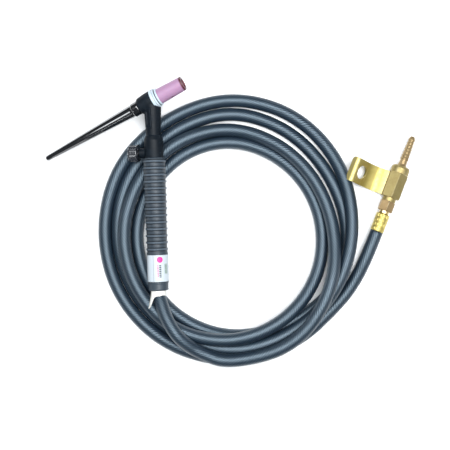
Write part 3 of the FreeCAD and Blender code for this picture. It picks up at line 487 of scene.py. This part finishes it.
def paper(name, color, stain):
    """Paper with fibre, soft creases and a few stains."""
    shade = Shade(name, color, 0.62)
    fibre = shade.noise(900.0, 5.0, 0.7, shade.space((1, 3, 1)))
    crease = shade.noise(90.0, 4.0, 0.6, distortion=1.5)
    shade.color(shade.mix(shade.ramp(crease, (0.5, 0.0), (0.85, 0.7)), color, stain))
    shade.rough(shade.ramp(fibre, (0.3, 0.55), (0.7, 0.72)))
    shade.bump(fibre, 0.03, 0.5)
    shade.bump(crease, 0.25, 0.4)
    return shade.material


def printed_label():
    """The label's paper with a plain coloured dot and broken bars, and no words."""
    shade = Shade("label_paper", (0.8, 0.83, 0.86), 0.5)
    split = shade.add("SeparateXYZ")
    shade.tree.links.new(shade.add("TexCoord").outputs["UV"], split.inputs[0])
    across, along = split.outputs[0], split.outputs[1]

    def near(value, middle, wide):
        """1 within a band about middle, 0 outside."""
        return shade.math("COMPARE", value, middle, wide / 2)

    def block(u, v, wide, long):
        """1 inside a rectangle of the label, 0 outside."""
        return shade.math("MULTIPLY", near(across, u, wide), near(along, v, long))

    def broken(u, v, wide, long, step):
        """A bar cut into short dashes along its length, one each step."""
        dashes = near(shade.math("FRACT", shade.math("DIVIDE", along, step)), 0.5, 0.72)
        return shade.math("MULTIPLY", block(u, v, wide, long), dashes)

    stain = shade.ramp(shade.noise(90.0, 4.0), (0.5, 0.0), (0.85, 0.6))
    color = shade.mix(stain, (0.52, 0.575, 0.62), (0.44, 0.49, 0.53))
    for bar, ink in (
        ((-8.6, 19.5, 2.6, 15.0, 2.3), (0.06, 0.065, 0.08)),
        ((-5.8, 19.0, 1.5, 14.0, 1.9), (0.50, 0.06, 0.22)),
        ((-17.0, 17.0, 5.0, 12.0, 1.5), (0.18, 0.26, 0.20)),
    ):
        color = shade.mix(broken(*bar), color, ink)
    squares = []
    for value, middle in ((across, -8.4), (along, 5.5)):
        squares.append(shade.math("POWER", shade.math("SUBTRACT", value, middle), 2.0))
    dot_radius_squared = 13.7
    dot = shade.math("LESS_THAN", shade.math("ADD", *squares), dot_radius_squared)
    color = shade.mix(dot, color, (0.72, 0.02, 0.26))
    lap_edge = near(across, -0.3, 0.8)
    shade.color(shade.mix(lap_edge, color, (0.30, 0.32, 0.35)))
    shade.rough(shade.ramp(shade.noise(500.0, 3.0), (0.3, 0.42), (0.7, 0.58)))
    shade.bump(shade.noise(900.0, 4.0, 0.7), 0.02, 0.4)
    return shade.material


MATERIALS = {
    "hose": hose_rubber(),
    "shell": moulded(
        "black_moulding", (0.002, 0.005, 0.009), (0.012, 0.022, 0.034), (0.46, 0.6), 0.18),
    "grip": ribbed(),
    "ring": moulded(
        "black_ring", (0.034, 0.047, 0.062), (0.072, 0.096, 0.124), (0.38, 0.5)),
    "gloss": gloss("black_gloss", (0.005, 0.006, 0.008), 0.07),
    "knob": gloss("knob_gloss", (0.016, 0.019, 0.026), 0.12),
    "ceramic": pink_ceramic(),
    "white": white_polymer(),
    "ferrule": brass(
        "ferrule_brass", (0.60, 0.49, 0.15), (0.42, 0.32, 0.09), (0.34, 0.46), tool_marks=0.06),
    "nut": brass(
        "nut_brass", (0.40, 0.28, 0.14), (0.28, 0.19, 0.09), (0.42, 0.55), painted_light=0.9),
    "adapter": brass(
        "adapter_brass", (0.36, 0.29, 0.12), (0.27, 0.20, 0.08), (0.42, 0.54), painted_light=0.9),
    "lug": brass(
        "lug_brass", (0.44, 0.36, 0.11), (0.33, 0.26, 0.07), (0.38, 0.5),
        stretch=(1, 16, 1), painted_light=0.6),
    "barb": brass("barb_brass", (0.41, 0.30, 0.155), (0.26, 0.18, 0.085), (0.38, 0.5)),
    "copper": plain_metal("copper", (0.78, 0.42, 0.28), (0.55, 0.28, 0.18), 0.3),
    "inner_brass": plain_metal("inner_brass", (0.78, 0.62, 0.32), (0.58, 0.44, 0.2), 0.28),
    # near black as painted shade: gland nut and valve stem sit in the shaded gap between knob and
    # boss
    "brass_painted_shade": plain_metal("brass_painted_shade", (0.035, 0.033, 0.032), (0.02, 0.019, 0.019), 0.42),
    "steel": plain_metal("screw_steel", (0.62, 0.62, 0.64), (0.42, 0.42, 0.45), 0.3),
    "tungsten": plain_metal("tungsten", (0.40, 0.40, 0.43), (0.28, 0.28, 0.31), 0.36),
    "seal": moulded("seal_rubber", (0.010, 0.010, 0.011), (0.03, 0.03, 0.03), (0.5, 0.65)),
    "label": printed_label(),
    "wrap": paper("wrap_paper", (0.86, 0.85, 0.80), (0.62, 0.60, 0.50)),
}

NODE_MATERIALS = {
    "copper": ("collet_body", "collet", "neck_tube"),
    "inner_brass": ("head_core", "valve_body", "torch_nipple", "hose_nipple"),
    # painted shade on brass in the shaded gap under the knob
    "brass_painted_shade": ("gland_nut", "valve_stem"),
    "seal": ("stem_o_ring", "back_cap_o_ring"),
    "steel": ("knob_screw",),
    "tungsten": ("electrode",),
    "ferrule": ("torch_ferrule", "hose_ferrule"),
    "shell": ("head_cover", "valve_housing"),
    "grip": ("handle_grip",),
    "ring": ("handle_end_ring",),
    "gloss": ("back_cap",),
    "knob": ("valve_knob",),
    "ceramic": ("nozzle",),
    "white": ("cup_gasket",),
    "nut": ("union_nut",),
    "adapter": ("adapter_body",),
    "lug": ("lug_bracket",),
    "barb": ("gas_barb",),
    "label": ("label_sleeve",),
    "wrap": ("paper_wrap",),
    "hose": ("hose_lead", "hose_coil", "hose_tail"),
}


def paint(piece, key):
    """Gives a piece one material."""
    piece.data.materials.clear()
    piece.data.materials.append(MATERIALS[key])


for key, names in NODE_MATERIALS.items():
    for node in names:
        paint(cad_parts[node], key)


# ---------------------------------------------------------------- hose

HANDLE_LENGTH = 162.0  # from the housing to the end that the hose leaves by
HOSE_RADIUS = 8.0
COIL_MIDDLE = Vector((140.65, -42.17))
COIL_STEP = 30  # degrees between the points of a turn
SPLINE_OUTSET = 1.035  # the spline passes inside the points of a turn

# The middle line of the hose: the lead out of the handle, the turns, and the tail up to the
# ferrule. A turn holds the distance from the coil's middle and the height above the floor, at
# every step anticlockwise from the bottom of the picture.
LEAD = [
    (56.5, -128.1, 32.0),
    (61.1, -143.4, 36.5),
    (67.7, -157.1, 40.0),
    (76.0, -170.1, 41.5),
    (87.0, -181.4, 38.5),
    (102.5, -192.4, 31.5),
]
TURNS = [
    [(160.0, 30), (159.5, 36.5), (141.8, 39.5), (127.3, 21.5), (120.4, 19.5), (119.6, 17),
     (123.9, 10), (124.0, 16), (125.2, 16), (129.4, 21.5), (133.9, 23), (139.5, 24)],
    [(136.8, 27.5), (130.4, 23), (123.6, 12), (115.6, 8), (109.7, 8), (107.1, 8),
     (108.3, 8), (108.1, 8), (109.4, 8), (114.4, 8), (119.3, 8), (125.5, 8)],
    [(133.0, 8), (138.0, 8), (151.0, 8), (147.0, 8), (140.0, 8), (141.2, 8),
     (144.1, 8), (138.0, 8), (140.2, 8), (138.5, 8), (141.0, 8), (144.5, 8)],
    [(150.0, 19.5), (148.1, 21), (150.2, 24), (151.0, 23.5), (157.2, 15), (161.5, 8),
     (161.0, 8), (154.5, 8), (155.5, 9), (154.5, 8), (157.6, 8), (160.7, 9)],
    [(161.9, 8), (160.9, 8)],
]
TAIL = [(277.9, -134.6, 8.0), (297.9, -107.2, 8.0), (312.9, -75.1, 12.8), (324.5, -45.0, 12.8)]


def hose_route():
    """The hose's points, in metres."""
    ways = (HANDLE_LENGTH - 22, HANDLE_LENGTH, HANDLE_LENGTH + 8)
    inside = [HANDLE @ (Vector((0, 0, z)) * MM) for z in ways]
    route = inside + [Vector(spot) * MM for spot in LEAD]
    for turn in TURNS:
        for step, (radius, height) in enumerate(turn):
            angle = math.radians(COIL_STEP * step - 90)
            out = radius * SPLINE_OUTSET
            spot = COIL_MIDDLE + Vector((math.cos(angle), math.sin(angle))) * out
            route.append(Vector((spot.x, spot.y, height)) * MM)
    return route + [Vector(spot) * MM for spot in TAIL]


def spline_points(name, route, resolution):
    """Points along the smooth spline of a route, by the curve's own mesh."""
    data = bpy.data.curves.new(name, "CURVE")
    data.dimensions = "3D"
    data.resolution_u = resolution
    line = data.splines.new("NURBS")
    line.points.add(len(route) - 1)
    for point, spot in zip(line.points, route):
        point.co = (*spot, 1.0)
    line.order_u = 3
    line.use_endpoint_u = True
    curve = bpy.data.objects.new(name, data)
    bpy.context.scene.collection.objects.link(curve)
    bpy.context.view_layer.update()
    mesh = bpy.data.meshes.new_from_object(curve)
    spots = [v.co.copy() for v in mesh.vertices]
    bpy.data.objects.remove(curve)
    bpy.data.meshes.remove(mesh)
    return spots


def tube_along(name, path, radius, sides=28):
    """A round tube along close points, with UVs in millimetres round it and along it."""
    points, faces, uvs = [], [], []
    tangents = []
    for index in range(len(path)):
        before = path[max(0, index - 1)]
        after = path[min(len(path) - 1, index + 1)]
        tangents.append((after - before).normalized())
    side = tangents[0].cross(UP).normalized()
    along = [0.0]
    for a, b in zip(path, path[1:]):
        along.append(along[-1] + (b - a).length / MM)
    for spot, tangent in zip(path, tangents):
        side = (side - tangent * side.dot(tangent)).normalized()
        up = tangent.cross(side)
        for step in range(sides):
            angle = math.tau * step / sides
            points.append(spot + (side * math.cos(angle) + up * math.sin(angle)) * radius)
    round_mm = math.tau * radius / MM
    for ring in range(len(path) - 1):
        for step in range(sides):
            after = (step + 1) % sides
            a, b = ring * sides, (ring + 1) * sides
            faces.append((a + step, a + after, b + after, b + step))
            u0, u1 = round_mm * step / sides, round_mm * (step + 1) / sides
            v0, v1 = along[ring], along[ring + 1]
            uvs += [(u0, v0), (u1, v0), (u1, v1), (u0, v1)]
    for ring in (0, len(path) - 1):
        cap = [ring * sides + step for step in range(sides)]
        faces.append(tuple(cap if ring else cap[::-1]))
        uvs += [(0, 0)] * sides
    mesh = mesh_of(name, points, faces, uvs)
    facing_out(mesh)
    mesh.shade_smooth()
    return mesh


def make_hose():
    """The whole power hose: one tube along one spline. Returns the piece and its line."""
    path = spline_points("hose_line", hose_route(), 24)
    mesh = tube_along("power_hose", path, HOSE_RADIUS * MM)
    nodes = ("hose_lead", "hose_coil", "hose_tail")
    hose = new_piece("power_hose", mesh, "torch", "hose_rubber", *nodes)
    paint(hose, "hose")
    return hose, path


HOSE, HOSE_LINE = make_hose()


# ---------------------------------------------------------------- shared by the pieces


def applied(piece):
    """Bakes a piece's modifiers into its mesh."""
    bpy.context.view_layer.update()
    graph = bpy.context.evaluated_depsgraph_get()
    mesh = bpy.data.meshes.new_from_object(piece.evaluated_get(graph))
    piece.modifiers.clear()
    old = piece.data
    piece.data = mesh
    bpy.data.meshes.remove(old)
    return piece


def eased_copy(name, node):
    """A copy of a moulded CAD cover with its edges and inner corners eased."""
    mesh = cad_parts[node].data.copy()
    piece = new_piece(name, mesh, "torch", "black_moulding", node)
    remesh = piece.modifiers.new("remesh", "REMESH")
    remesh.mode = "VOXEL"
    remesh.voxel_size = 0.42 * MM
    ease = piece.modifiers.new("ease", "SMOOTH")
    ease.factor = 0.5
    ease.iterations = 4
    applied(piece)
    piece.data.shade_smooth()
    paint(piece, "shell")


def bevelled_copy(name, node, body, slot, key):
    """A copy of a CAD metal piece with its machined edges broken by a small bevel."""
    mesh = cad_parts[node].data.copy()
    piece = new_piece(name, mesh, body, slot, node)
    shape = bmesh.new()
    shape.from_mesh(piece.data)
    bmesh.ops.remove_doubles(shape, verts=shape.verts, dist=0.01 * MM)
    bmesh.ops.dissolve_limit(
        shape, angle_limit=math.radians(1.0), verts=shape.verts, edges=shape.edges)
    shape.to_mesh(piece.data)
    shape.free()
    bevel = piece.modifiers.new("bevel", "BEVEL")
    bevel.width = 0.35 * MM
    bevel.segments = 3
    bevel.limit_method = "ANGLE"
    bevel.angle_limit = math.radians(32)
    even = piece.modifiers.new("even", "WEIGHTED_NORMAL")
    even.keep_sharp = False
    piece.data.shade_smooth()
    applied(piece)
    paint(piece, key)
    return piece


def mark_painted_light_and_wear(mesh, wear_and_painted_light):
    """Stores painted light, painted shade and wear from wear_and_painted_light(point), from 0 to
    1, as a colour; the point is in the row's metres.
    """
    layer = mesh.color_attributes.new("painted_light_and_wear", "FLOAT_COLOR", "POINT")
    for vertex, entry in zip(mesh.vertices, layer.data):
        amount = wear_and_painted_light(vertex.co)
        entry.color = (amount, amount, amount, 1.0)


def as_paper(piece, thickness, key):
    """Gives a sheet its thickness in millimetres, crisp edges and a material."""
    shell = piece.modifiers.new("shell", "SOLIDIFY")
    shell.thickness = thickness * MM
    shell.offset = 0.0
    applied(piece)
    piece.data.shade_smooth()
    piece.data.set_sharp_from_angle(angle=math.radians(50))
    paint(piece, key)


# ---------------------------------------------------------------- torch head


def make_nozzle():
    """The ceramic nozzle: rounded edges, a darker mouth, painted shade in the bore and a nick on
    one side.
    """
    place = HEAD @ move(0, 0, 2.8)
    outline = softened(
        [(6.5, 3), (6.5, 0), (9.45, 0, 0.7), (9.45, 9), (8.75, 41.2, 0.6), (5.5, 41.2, 0.7),
         (5.5, 15.5), (6.5, 15.5), (6.5, 3)], 0.5, 4)
    outline = divided(outline, 1.2)[:-1]
    outside, bore, mouth = 7.5, 5.7, 39.4
    nick_at, nick_angle, nick_depth, unevenness = 22.5, 256, 0.42, 0.05

    def nick(angle, z, wide, high):
        """1 in the middle of the nick, falling to 0 about it."""
        gap = angle_gap(angle, nick_angle)
        return math.exp(-((gap / wide) ** 2) - ((z - nick_at) / high) ** 2)

    def shape(r, z, angle):
        if r < outside:
            return r, z
        spot = Vector((math.cos(angle) * 2, math.sin(angle) * 2, z * 0.12))
        return r - nick_depth * nick(angle, z, 8.0, 1.5) + unevenness * noise.noise(spot), z

    mesh = lathe("nozzle_cup", outline, place, 120, shape, closed=True)
    piece = new_piece("nozzle_cup", mesh, "nozzle", "pink_ceramic", "nozzle")
    back = place.inverted()

    def wear_and_painted_light(spot):
        here = back @ spot / MM
        radius = math.hypot(here.x, here.y)
        # darker at the mouth
        if here.z > mouth:
            return 1.0
        # painted shade inside the bore
        if radius < bore and here.z > 20:
            return 0.9
        chipped = 1.2 * nick(math.atan2(here.y, here.x), here.z, 7.5, 1.4)
        return min(1.0, chipped) if radius > outside else 0.0

    mark_painted_light_and_wear(mesh, wear_and_painted_light)
    paint(piece, "ceramic")


def make_gasket():
    """The white gasket: thick ring with a turned groove, and its thinner lip."""
    outline = softened(
        [(6.5, 1.2), (6.5, 0), (12.2, 0, 0.5), (12.2, 3.5, 0.12), (11.95, 3.7, 0.1),
         (11.95, 4.0, 0.1), (12.2, 4.2, 0.12), (12.2, 5.9, 0.6), (10.0, 5.9, 0.15),
         (10.0, 7.0, 0.15), (10.8, 7.0, 0.3), (10.8, 9.0, 0.5), (9.5, 9.0, 0.2),
         (9.5, 1.2, 0.1), (6.5, 1.2)], 0.3, 4)
    place = HEAD @ move(0, 0, 1.5)
    mesh = lathe("cup_shield", outline[:-1], place, 120, closed=True)
    back = place.inverted()

    def painted_shade(spot):
        here = back @ spot / MM
        radius = math.hypot(here.x, here.y)
        # painted shade on the neck under the lip
        if 5.6 < here.z < 7.2 and radius < 10.6:
            return 0.9  # the neck under the lip
        # painted shade in the turned groove
        if 3.4 < here.z < 4.3 and radius < 12.1:
            return 0.75  # the turned groove
        return 0.0

    mark_painted_light_and_wear(mesh, painted_shade)
    paint(new_piece("cup_shield", mesh, "torch", "white_ptfe", "cup_gasket"), "white")


def make_back_cap():
    """The long cap: threaded nose, sealing groove, collar and a taper with ten flat sides."""
    end = 148.4
    flats_from, flats_to = 20.6, end - 6.0
    outline = softened(
        [(2.3, 6), (2.3, 0), (5.95, 0, 0.5), (5.95, 5.4, 0.1), (4.25, 5.4, 0.1), (4.25, 7.2, 0.1),
         (5.95, 7.2, 0.1), (5.95, 10.7, 0.1), (8.6, 10.7, 0.9), (8.6, 18.9, 0.7),
         (7.75, 19.6, 0.4), (3.2, end - 2.2, 1.0), (2.4, end - 0.5, 0.8), (0, end)], 0.4, 4)
    outline = divided(outline, 1.1)
    pitch, thread_depth = 1.27, 0.35
    half = math.pi / 10  # half the angle of a flat
    flat_share, flat_depth = 0.94, 1.15
    up = CAP.to_3x3().inverted() @ UP
    flat_at = math.atan2(up.y, up.x) - math.radians(12)

    def shape(r, z, angle):
        if 0.7 < z < 5.2 and r > 5.5:  # the threaded nose
            turn = (z / pitch - angle / math.tau) % 1.0
            return r - thread_depth * abs(2 * turn - 1), z
        if flats_from - 1 < z < flats_to and r > 2.5:  # the taper
            off = (angle - flat_at + half) % (2 * half) - half
            chord = max(0.0, 1 - math.cos(half * flat_share) / math.cos(off))
            run_out = 1.6 if z < 60 else 6.0
            there = bump_between(z, flats_from, flats_to - 1.5, run_out)
            return r - flat_depth * r * chord * there, z
        return r, z

    mesh = lathe("long_cap", outline, CAP, 180, shape, sharp=60)
    piece = new_piece("long_cap", mesh, "back_cap", "black_gloss", "back_cap")
    paint(piece, "gloss")


def make_knob():
    """The valve knob: scalloped rim with eased edges and a shallow dished face."""
    outline = softened(
        [(2.5, 6), (2.5, 0), (5.2, 0, 0.3), (5.6, 0.7, 0.3), (7.4, 0.7, 0.3), (7.8, 0, 0.3),
         (10.4, 0, 0.3), (10.8, 0.4, 0.3), (10.8, 1.2, 0.3), (9.8, 1.5, 0.15),
         (9.8, 11.0, 0.7), (8.9, 12.0, 0.5), (6.4, 12.0, 0.5), (5.6, 11.2, 0.5),
         (3.1, 11.2, 0.3), (3.1, 10.4, 0.2), (1.25, 10.4, 0.1), (1.25, 8)], 0.4, 4)
    outline = divided(outline, 0.8)
    scallops, scallop_share = 12, 0.72
    inner, rim, skirt = 8.0, 9.8, 1.45

    def shape(r, z, angle):
        if r < inner or z < skirt:
            return r, z
        phase = (angle * scallops / math.tau) % 1.0
        across = abs(2 * phase - 1) / scallop_share
        deep = max(0.0, 1 - across * across) * (r - inner) / (rim - inner)
        return r - deep, z

    mesh = lathe("knob", outline, VALVE @ move(0, 0, 19.4), 192, shape, sharp=60)
    paint(new_piece("knob", mesh, "valve_knob", "black_gloss", "valve_knob"), "knob")


# ---------------------------------------------------------------- handle

FACING = 76.8  # the side of the handle that looks straight up, in degrees about its Z
TAIL_RADIUS = 12.96  # of the label, just outside the grip's plain tail


def make_grip():
    """The grip: fourteen ridges, flat lands with a shallow pad on two sides, a plain tail."""
    ribs, pitch, first = 14, 8.25, 4.2
    front, fall, groove = 14.4, 1.1 / 13, 1.05
    pads, pad_half, pad_height = (FACING - 12, FACING + 168), 34, 0.34
    unevenness = 0.05
    last = first + pitch * (ribs - 1)
    outline = [(8.6, 1.5), (8.6, 0), (12.2, 0, 0.5), (13.3, 1.4, 0.5)]
    for rib in range(ribs):
        top = front - fall * rib
        middle = first + pitch * rib
        outline += [
            (top - groove, middle - 1.5, 0.45),
            (top, middle - 0.75, 0.5),
            (top, middle + 0.75, 0.5),
            (top - groove, middle + 1.5, 0.45),
        ]
    outline += [(12.3, last + 2.2, 0.3), (12.9, last + 5.0, 0.5)]
    outline += [(12.9, 151.9, 0.4), (10.4, 151.9)]
    outline = divided(softened(outline, 0.4, 4), 0.9)

    def shape(r, z, angle):
        if r < 11.5 or z > last:  # the bore and the plain tail
            return r, z
        inside = (z - first) % pitch
        along = bump_between(inside, 2.2, pitch - 2.2, 0.35)
        gaps = [angle_gap(angle, pad) for pad in pads]
        round_it = max(bump_between(gap, -pad_half, pad_half, 2.4) for gap in gaps)
        spot = Vector((math.cos(angle) * 3, math.sin(angle) * 3, z * 0.1))
        return r + pad_height * along * round_it + unevenness * noise.noise(spot), z

    mesh = lathe("ribbed_grip", outline, HANDLE, 180, shape, sharp=70)
    back = HANDLE.inverted()
    # amounts of painted light: the tail, the ridge tops lit most, the pads lit less; the grooves
    # beside the ridges get painted shade
    on_tail, on_ridge, on_pad = 0.35, 0.8, 0.42

    def painted_light(spot):
        z = (back @ spot).z / MM
        if z > last + 2.2:
            return on_tail
        inside = (z - first) % pitch
        beside = min(inside, pitch - inside)
        if beside < 1.3:
            return on_ridge
        return on_pad * bump_between(beside, 2.3, NO_END, 0.4)

    mark_painted_light_and_wear(mesh, painted_light)
    paint(new_piece("ribbed_grip", mesh, "torch", "grip_rubber", "handle_grip"), "grip")
    ring = softened(
        [(8.1, 153), (8.1, 152.0), (12.45, 152.0, 0.4), (12.45, 153.2, 0.3), (12.15, 153.8, 0.3),
         (12.15, 159.8, 0.3), (12.45, 160.3, 0.3), (12.3, 161.4, 0.6), (11.2, 162.0, 0.4),
         (8.1, 162.0, 0.3), (8.1, 153)], 0.3, 4)
    mesh = lathe("cable_end_ring", divided(ring, 1.0)[:-1], HANDLE, 120, closed=True)
    paint(new_piece("cable_end_ring", mesh, "torch", "black_plastic", "handle_end_ring"), "ring")


def make_label():
    """A paper label wrapped once round the tail, its loose edge lapping over itself."""
    start, length = 118.3, 32.4
    seam = FACING + 21
    lap = 16.0  # degrees that the loose edge passes the seam
    wrapped = 360.0 + lap
    lap_lift, edge_curl, waviness, ragged = 0.13, 0.07, 0.03, 0.12
    across, along = 190, 24
    points, faces, uvs = [], [], []
    for step in range(across + 1):
        turn = wrapped * step / across
        lift = bump_between(turn, 360 - 3, NO_END, 8.0) * lap_lift
        edge = bump_between(turn, wrapped - 5, NO_END, 6.0)
        for row in range(along + 1):
            z = start + length * row / along
            curl = edge * edge_curl * (1 + noise.noise(Vector((z * 0.2, 3.0, 0))))
            wave = waviness * noise.noise(Vector((turn * 0.05, z * 0.12, 1.0)))
            trim = ragged * noise.noise(Vector((turn * 0.04, 0.0, 7.0 + row // along)))
            angle = math.radians(seam - wrapped + turn)
            r = TAIL_RADIUS + lift + curl + wave
            spot = Vector((r * math.cos(angle), r * math.sin(angle), z + trim))
            points.append(HANDLE @ (spot * MM))
    for step in range(across):
        for row in range(along):
            a = step * (along + 1) + row
            b = a + along + 1
            faces.append((a, b, b + 1, a + 1))
            for s, w in ((step, row), (step + 1, row), (step + 1, row + 1), (step, row + 1)):
                back = math.radians(wrapped * s / across - wrapped)
                uvs.append((TAIL_RADIUS * back, length * w / along))
    mesh = mesh_of("paper_label", points, faces, uvs)
    piece = new_piece("paper_label", mesh, "torch", "label_paper", "label_sleeve")
    as_paper(piece, 0.1, "label")


def make_wrap():
    """The torn paper left round the hose: short on top, a long loose flap on one side."""
    start = 160.5
    across, along = 150, 22
    flap, flap_half = FACING + 82, 40.0
    short, flap_extra = 8.2, 15.5
    closest = HOSE_RADIUS + 0.15
    points, faces, uvs = [], [], []
    for step in range(across):
        angle = math.radians(360.0 * step / across)
        out = Vector((math.cos(angle), math.sin(angle), 0))
        loose = math.exp(-((angle_gap(angle, flap) / flap_half) ** 4))
        torn = 1.4 * noise.noise(out * 4 + UP * 2.0)
        torn += 0.6 * noise.noise(out * 15 + UP * 5.0)
        length = short + flap_extra * loose + torn
        for row in range(along + 1):
            share = row / along
            fold = 0.35 * noise.noise(out * 2.6 + UP * (share * 2))
            open_up = (0.55 + 4.4 * loose) * share ** 1.4
            at_root = 0.88 * (1 - share) ** 2
            r = max(closest, 8.3 + at_root + open_up + fold * (0.3 + share))
            points.append(HANDLE @ ((out * r + UP * (start + length * share)) * MM))
    for step in range(across):
        after = (step + 1) % across
        for row in range(along):
            a, b = step * (along + 1) + row, after * (along + 1) + row
            faces.append((a, b, b + 1, a + 1))
            uvs += [(step, row), (step + 1, row), (step + 1, row + 1), (step, row + 1)]
    mesh = mesh_of("torn_wrap", points, faces, uvs)
    piece = new_piece("torn_wrap", mesh, "torch", "label_paper", "paper_wrap")
    as_paper(piece, 0.16, "wrap")


# ---------------------------------------------------------------- hose end


def make_ferrule():
    """The crimped ferrule: eight flats in four pressed bands, each facet a little different."""
    length, bands, flats = 23.0, 4, 8
    press_depth, knurl_depth, stagger = 0.5, 0.06, 0.15
    band = length / bands
    outline = divided(softened(
        [(5.0, 2), (5.0, 0), (8.0, 0, 0.3), (8.35, 0.5, 0.3), (8.35, length - 0.5, 0.4),
         (7.8, length, 0.3), (5.0, length), (5.0, length - 2)], 0.3, 3), 0.32)
    rng = random.Random(4)
    dents = [[rng.uniform(0.5, 1.25) for _ in range(flats)] for _ in range(bands)]

    def shape(r, z, angle):
        if r < 7.5:  # the bore
            return r, z
        row = min(bands - 1, max(0, int(z / band)))
        facet = (angle / math.tau * flats + stagger * (row % 2)) % flats
        deep = press_depth * dents[row][int(facet)]
        across = abs(2 * (facet % 1.0) - 1)
        inside = (z / band) % 1.0
        pressed = bump_between(inside, 0.14, 0.86, 0.16) * bump_between(across, -1, 0.80, 0.22)
        knurl = knurl_depth * math.cos(z * 6.0) * math.cos(angle * 40)
        return r - (deep - knurl) * pressed, z

    mesh = lathe("crimp_ferrule", outline, ADAPTER, 200, shape, sharp=75)
    piece = new_piece("crimp_ferrule", mesh, "torch", "ferrule_brass", "hose_ferrule")
    paint(piece, "ferrule")
    return piece


def make_barb():
    """The gas barb: a flared bare neck, then six saw-tooth crests and a smooth rounded tip."""
    start, length, gas_way = 87.0, 39.0, 1.7
    ribs, bare, taper = 6, 8.0, 6.5
    crest, crest_fall, tooth = 5.3, 0.166, 0.95
    pitch = (length - bare - taper) / ribs
    end = start + length
    outline = [(gas_way, start + 6), (gas_way, start - 6.5), (3.4, start - 6.5)]
    outline += [(5.9, start - 0.1, 0.4), (5.0, start + 1.8, 1.5), (4.4, start + bare, 0.4)]
    for rib in range(ribs):
        top = crest - crest_fall * rib
        low = start + bare + pitch * rib
        outline += [(top, low + 0.9, 0.5), (top - tooth, low + pitch, 0.45)]
    outline += [(4.3, end - taper + 1.2, 0.8), (3.7, end - 2.6, 1.5), (2.8, end - 0.8, 0.8)]
    outline += [(2.2, end, 0.3), (gas_way, end - 0.5), (gas_way, start + 8)]
    mesh = lathe("hose_barb", divided(softened(outline, 0.3, 4), 0.7), ADAPTER, 96)
    piece = new_piece("hose_barb", mesh, "torch", "red_brass", "gas_barb")
    paint(piece, "barb")
    return piece


make_nozzle()
make_gasket()
make_back_cap()
make_knob()
make_grip()
make_label()
make_wrap()
eased_copy("head_shell", "head_cover")
eased_copy("valve_shell", "valve_housing")
make_ferrule()
bevelled_copy("swivel_nut", "union_nut", "union_nut", "nut_brass", "nut")
bevelled_copy("adapter_block", "adapter_body", "torch", "adapter_brass", "adapter")
make_barb()
bevelled_copy("stud_bracket", "lug_bracket", "torch", "adapter_brass", "lug")


# ---------------------------------------------------------------- stage


def make_stage():
    """A plain pale floor, four soft lights and an even surround."""
    reach = 3.0
    corners = [(-reach, -reach, 0), (reach, -reach, 0), (reach, reach, 0), (-reach, reach, 0)]
    middle = Vector((0.1335, -0.0395, 0))
    floor = bpy.data.objects.new("floor", mesh_of("floor", corners, [(0, 1, 2, 3)]))
    bpy.context.scene.collection.objects.link(floor)
    shade = Shade("floor_paint", (0.97, 0.97, 0.97), 0.85)
    shade.set(specular=0.1)
    floor.data.materials.append(shade.material)
    for name, place, energy, size in (
        ("key_light", (-0.43, 0.45, 1.35), 12.0, 0.8),
        ("top_light", (0.37, -0.03, 1.60), 35.0, 1.0),
        ("fill_light", (1.1035, -0.1995, 0.9), 2.5, 0.8),
        ("low_light", (-0.38, -0.56, 1.0), 0.6, 0.18),
    ):
        data = bpy.data.lights.new(name, "AREA")
        data.energy = energy
        data.shape = "DISK"
        data.color = (0.95, 0.98, 1.0)
        data.size = size
        lamp = bpy.data.objects.new(name, data)
        lamp.location = place
        aim = middle - lamp.location
        lamp.rotation_euler = aim.to_track_quat("-Z", "Y").to_euler()
        bpy.context.scene.collection.objects.link(lamp)
    bpy.context.scene.view_settings.view_transform = "Standard"
    world = bpy.data.worlds.new("surround")
    bpy.context.scene.world = world
    world.use_nodes = True
    back = world.node_tree.nodes["Background"]
    back.inputs["Color"].default_value = (0.94, 0.97, 1.0, 1.0)
    back.inputs["Strength"].default_value = 0.12


make_stage()
